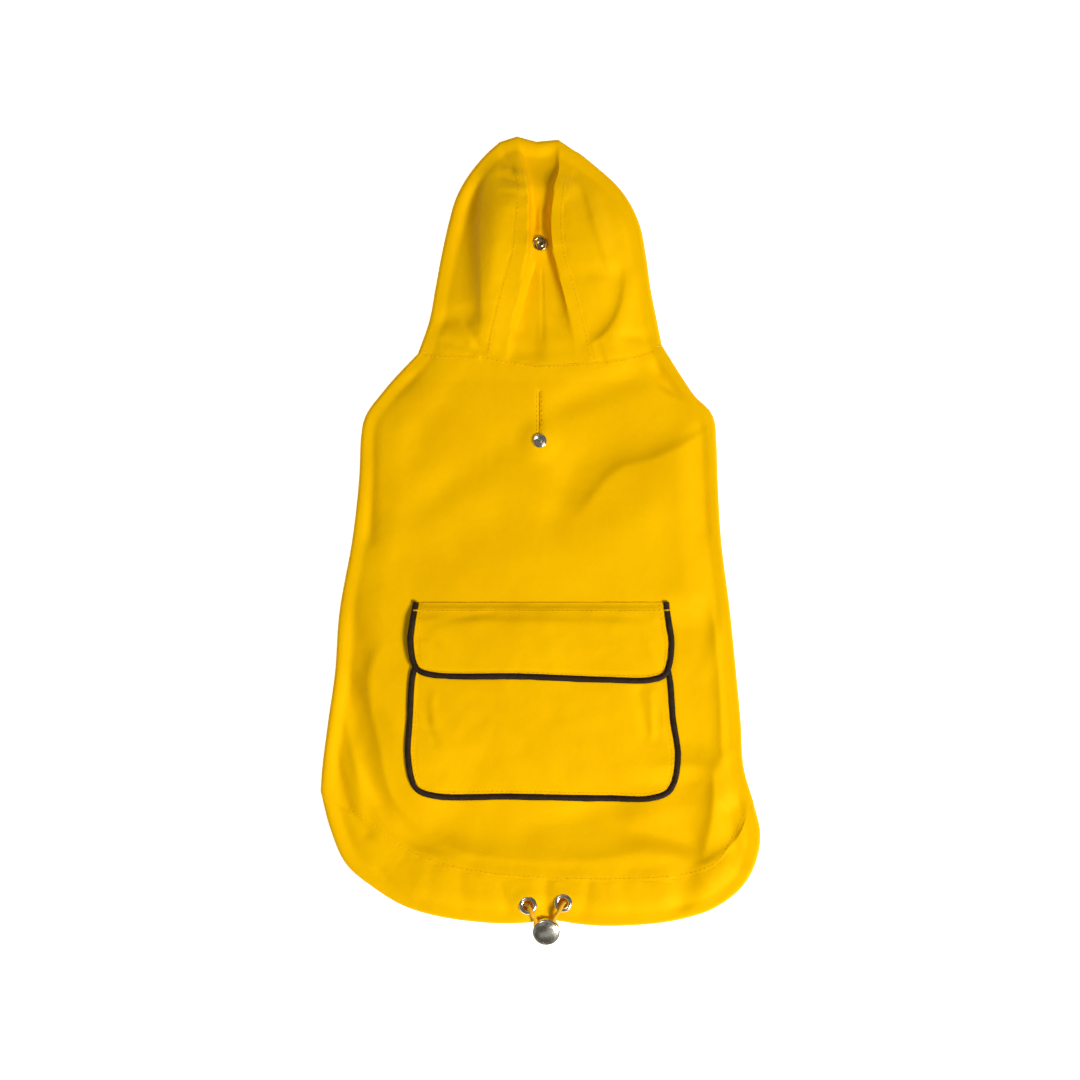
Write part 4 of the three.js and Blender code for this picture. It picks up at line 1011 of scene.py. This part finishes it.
def twisted_thread(name, low, high):
    """Sewing thread with the fine slanting lines of its twist."""
    finish, nodes, links, surface, place = new_finish(name)
    clouds = grain(nodes, links, place, 0.002)
    links.new(ramp(nodes, links, clouds, low, high), surface.inputs["Base Color"])
    surface.inputs["Roughness"].default_value = 0.6
    surface.inputs["Specular IOR Level"].default_value = 0.12
    surface.inputs["Specular Tint"].default_value = yellow_tint
    twist = nodes.new("ShaderNodeTexWave")
    twist.bands_direction = "DIAGONAL"
    twist.inputs["Scale"].default_value = 900
    links.new(place, twist.inputs["Vector"])
    links.new(relief(nodes, links, twist.outputs["Fac"], 0.00004), surface.inputs["Normal"])
    return finish


yellow_thread = twisted_thread("yellow_thread", (0.92, 0.47, 0.002), (1.0, 0.6, 0.012))


def thread_through(centres, across, up):
    return tube(centres, across, up, thread_radius, thread_radius, thread_sides)


def joined(tubes):
    """The points and faces of many tubes as one mesh."""
    all_points, all_faces, used = [], [], 0
    for points, faces in tubes:
        all_points.append(points)
        all_faces += [[index + used for index in face] for face in faces]
        used += len(points)
    return np.vstack(all_points), all_faces


# Along one stitch: the share of its length, and how high the middle of the thread lies over the cloth.
stitch_form = [(0, -0.32), (0.14, 0.06), (0.38, 0.14), (0.62, 0.14), (0.86, 0.06), (1, -0.32)]


def stitches(name, runs):
    """Stitches along runs of places on the cloth, each sunk into it at both ends."""
    spots, shape = np.array(stitch_form).T
    tubes = []
    for run in runs:
        lengths = np.concatenate([[0], np.cumsum(np.linalg.norm(np.diff(run, axis=0), axis=1))])
        for k in range(int((lengths[-1] - stitch_length) / stitch_pitch) + 1):
            at = k * stitch_pitch + spots * stitch_length
            centres = np.column_stack([np.interp(at, lengths, run[:, axis]) for axis in range(3)])
            centres[:, 2] += shape
            ahead = np.diff(centres[[0, -1], :2], axis=0)[0]
            ahead /= np.linalg.norm(ahead)
            across = np.tile((-ahead[1], ahead[0], 0.0), (len(at), 1))
            up = np.tile((0.0, 0.0, 1.0), (len(at), 1))
            tubes.append(thread_through(centres, across, up))
    return piece(name, *joined(tubes), yellow_thread, "coated_cloth")


run_step = 1.2


def beside_line(line, distance, first, last):
    """Places on the cloth beside a line, from one share of its length to another."""
    count = int(line.length * (last - first) / run_step)
    return laid(line.beside(np.linspace(first, last, count), distance))


def down_the_coat(x, top, bottom, count=40):
    return laid(np.column_stack([np.full(count, x), np.linspace(top, bottom, count)]))


hood_stitch_away, seam_stitch_away, seam_start = 1.7, 1.8, 0.03
stitches(
    "seam_stitches",
    [
        beside_line(hood_seam_left, -hood_stitch_away, 0.02, hood_seam_left.share_where(1, crown_turn)),
        beside_line(hood_seam_right, hood_stitch_away, 0.02, hood_seam_right.share_where(1, crown_turn)),
        beside_line(neck_seam, -seam_stitch_away, seam_start, 1 - seam_start),
        beside_line(hem_seam, seam_stitch_away, seam_start, 1 - seam_start),
    ],
)
slit_side, slit_past = 1.5, 0.6
stitches(
    "slit_stitches",
    [
        down_the_coat(x, slit_top + slit_past, slit_bottom - slit_past)
        for x in (slit_x - slit_side, slit_x + slit_side)
    ],
)


def inside_piping(grid, first_row):
    """Places on a patch along its piping: down its left, along its foot and up its right."""
    return np.concatenate([grid[first_row:-3, 2], grid[-3, 2:-2], grid[first_row:-3, -3][::-1]])


stitches("pocket_stitches", [inside_piping(pocket_grid, 40)])
flap_stitch_row = 6
stitches("flap_stitches", [inside_piping(flap_grid, 1), flap_grid[flap_stitch_row]])

bar_width, bar_lift, bar_steps, bar_apart = 4.6, 2.5, 13, 0.5
bar_left, bar_right = -78.1, 79.2
bars = []
for column, x in ((0, bar_left), (-1, bar_right)):
    y = float(flap_grid[flap_stitch_row, column, 1])
    for shift in (-bar_apart / 2, bar_apart / 2):
        spread = np.linspace(-bar_width / 2, bar_width / 2, bar_steps)
        plan = np.column_stack([x + spread, np.full(bar_steps, y + shift)])
        rise = bar_lift * np.sqrt(np.clip(1 - (2 * spread / bar_width) ** 2, 0, 1))
        centres = laid(plan, rise + float(flap_level(x, y)) - thread_radius)
        across, up = np.tile((0.0, 1.0, 0.0), (bar_steps, 1)), np.tile((0.0, 0.0, 1.0), (bar_steps, 1))
        bars.append(thread_through(centres, across, up))
piece("flap_corner_bars", *joined(bars), yellow_thread, "coated_cloth")

# The press studs are stamped and plated metal, riveted through the cloth: a domed cap on the pleat of the
# hood, and an open socket below the buttonhole that a second cap can snap into.
def polished(name, low, high):
    """Plated metal with fine scratches, a little duller in places."""
    finish, nodes, links, surface, place = new_finish(name)
    surface.inputs["Metallic"].default_value = 1
    tarnish = grain(nodes, links, place, 0.003)
    links.new(ramp(nodes, links, tarnish, low, high), surface.inputs["Base Color"])
    dull = ramp(nodes, links, grain(nodes, links, place, 0.0012, 5), (0.1,) * 3, (0.24,) * 3)
    links.new(dull, surface.inputs["Roughness"])
    scratches = grain(nodes, links, place, 0.0009, 5, (1, 0.2, 1))
    links.new(relief(nodes, links, scratches, 0.00002), surface.inputs["Normal"])
    return finish


nickel = polished("polished_nickel", (0.78, 0.72, 0.6), (0.95, 0.9, 0.78))
# The cap on the hood is the same plated nickel. Its colour is painted darker and yellow-brown, as a painted
# reflection of the yellow pleat and its dark hollow round it.
nickel_with_painted_reflection = polished("nickel_with_painted_pleat_reflection", (0.3, 0.19, 0.06), (0.72, 0.54, 0.24))


def rounded(profile, steps=5):
    """A profile of radius and height made smooth between its corners."""
    line = Line(profile)
    return line.at(np.linspace(0, 1, (len(profile) - 1) * steps + 1))


def leaning(tilt):
    """The turn that leans a piece towards the hem."""
    c, s = math.cos(tilt), math.sin(tilt)
    return np.array([[1, 0, 0], [0, c, -s], [0, s, c]])


def turned(name, node, profile, place, tilt=0.0, sides=48, finish=nickel):
    """A round piece turned from a profile of radius and height, leaning towards the hem by tilt."""
    turn = np.linspace(0, 2 * math.pi, sides, endpoint=False)
    radius, height = np.asarray(profile).T[..., None]
    rings = np.stack([radius * np.cos(turn), radius * np.sin(turn), height + 0 * turn], axis=-1)
    points = rings.reshape(-1, 3) @ leaning(tilt).T + place
    return piece(name, points, ring_faces(len(radius), sides), finish, "nickel", node)


stud_radius = 4.55
cap_profile = np.vstack([
    [(0.01, 0), (stud_radius - 0.5, 0), (stud_radius, 0.15)],
    rounded([(stud_radius, 0.6), (4.35, 1.1), (3.9, 1.35), (3.45, 1.2), (3.2, 0.95)]),
    rounded([(3.1, 1.0), (2.8, 1.5), (2.2, 1.95), (1.2, 2.25), (0.01, 2.34)]),
])
# The cap on the pleat takes the nickel that has the pleat's reflection painted into its colour.
turned("hood_stud", "stud_hood", cap_profile, seat_of("stud_hood"), finish=nickel_with_painted_reflection)
socket_profile = np.vstack([
    [(0.01, 0), (stud_radius - 0.5, 0), (stud_radius, 0.15)],
    rounded([(stud_radius, 0.6), (4.3, 1.2), (3.7, 1.6), (3.0, 1.65), (2.5, 1.3), (2.3, 0.9)]),
    [(2.2, 0.9), (1.5, 1.0), (1.3, 0.95), (1.15, 0.25), (0.01, 0.2)],
])
turned("back_stud", "stud_back", socket_profile, seat_of("stud_back"))

# The two eyelets are stamped rings of nickel-plated metal. Each is clenched round a hole in the upper layer
# of the casing, and lets one end of the elastic out.
eyelet_profile = np.vstack([
    [(3.0, -eyelet_barrel), (3.0, 0.05)],
    rounded([(5.5, 0.1), (5.8, 0.4), (5.5, 0.95), (4.7, 1.42), (3.8, 1.4), (3.1, 1.0), (2.8, 0.2)]),
    [(2.8, -eyelet_barrel), (3.0, -eyelet_barrel)],
])
for side in eyelet_places:
    turned(f"eyelet_ring_{side}", f"eyelet_{side}", eyelet_profile, seat_of(f"eyelet_{side}", eyelet_barrel))

# The toggle is a cast and polished metal button. The ends of the elastic are pressed into two sockets in its
# edge, and it leans on the edge of the hem.
toggle_x, toggle_y, toggle_radius, toggle_flat = 3.8, -354.6, 9.1, 7.4
toggle_tilt = math.radians(18)
toggle_place = np.array([toggle_x, toggle_y, toggle_flat * math.sin(toggle_tilt)])
toggle_profile = np.vstack([
    [(0.01, 0), (toggle_flat, 0)],
    rounded([(toggle_flat, 0.02), (8.4, 0.5), (8.95, 1.3), (9.1, 2.4), (9.0, 3.4), (8.6, 4.2), (8.1, 4.62)]),
    rounded([(7.8, 4.66), (7.5, 4.62), (6.4, 5.0), (4.4, 5.4), (2.2, 5.68), (0.01, 5.78)]),
])
turned("toggle_button", "cord_toggle", toggle_profile, toggle_place, toggle_tilt, 72)

# The elastic is a round braided cord of yellow thread. It runs inside the casing, comes up through each
# eyelet and goes down into its socket in the toggle.
cord_radius = 1.3
casing_level = solid_thickness + lying_gap + cord_radius
braid = woven_strip("yellow_braid", (0.74, 0.36, 0.003), (0.9, 0.46, 0.006), 0.6, 330, 0.00016, 0.12)
socket_level, socket_depth = 2.6, 3


def in_toggle(x, ahead):
    mouth = math.sqrt(toggle_radius**2 - x**2)
    return leaning(toggle_tilt) @ np.array([x, mouth + ahead, socket_level]) + toggle_place


for side, away, socket_x in (("left", -1, -6.7), ("right", 1, 5)):
    x, y, z = seat_of(f"eyelet_{side}", eyelet_barrel)
    mouth = in_toggle(socket_x, cord_radius + lying_gap)
    halfway = (np.array([x, y, 0]) + mouth) / 2
    route = Line([
        (x + away * 12, y - 1, casing_level), (x + away * 8, y - 0.4, casing_level),
        (x + away * 4.2, y, casing_level + 0.4), (x + away * 1.1, y, z - eyelet_barrel), (x, y, z + 0.6),
        (x - away * 0.6, y - 0.9, z + 2.6), (halfway[0], halfway[1], z + 3.1), tuple(mouth),
        tuple(in_toggle(socket_x, 0.6 - socket_depth)),
    ])
    shares = np.linspace(0, 1, 90)
    centres = route.at(shares)
    ahead = np.gradient(centres, axis=0)
    ahead /= np.linalg.norm(ahead, axis=1, keepdims=True)
    across = np.cross(ahead, np.array([0.0, 0.0, 1.0]) + 0.01 * away)
    across /= np.linalg.norm(across, axis=1, keepdims=True)
    up = np.cross(across, ahead)
    cord_points, cord_faces = tube(centres, across, up, cord_radius, cord_radius, 18)
    piece(f"elastic_{side}", cord_points, cord_faces, braid, "elastic", f"cord_{side}")
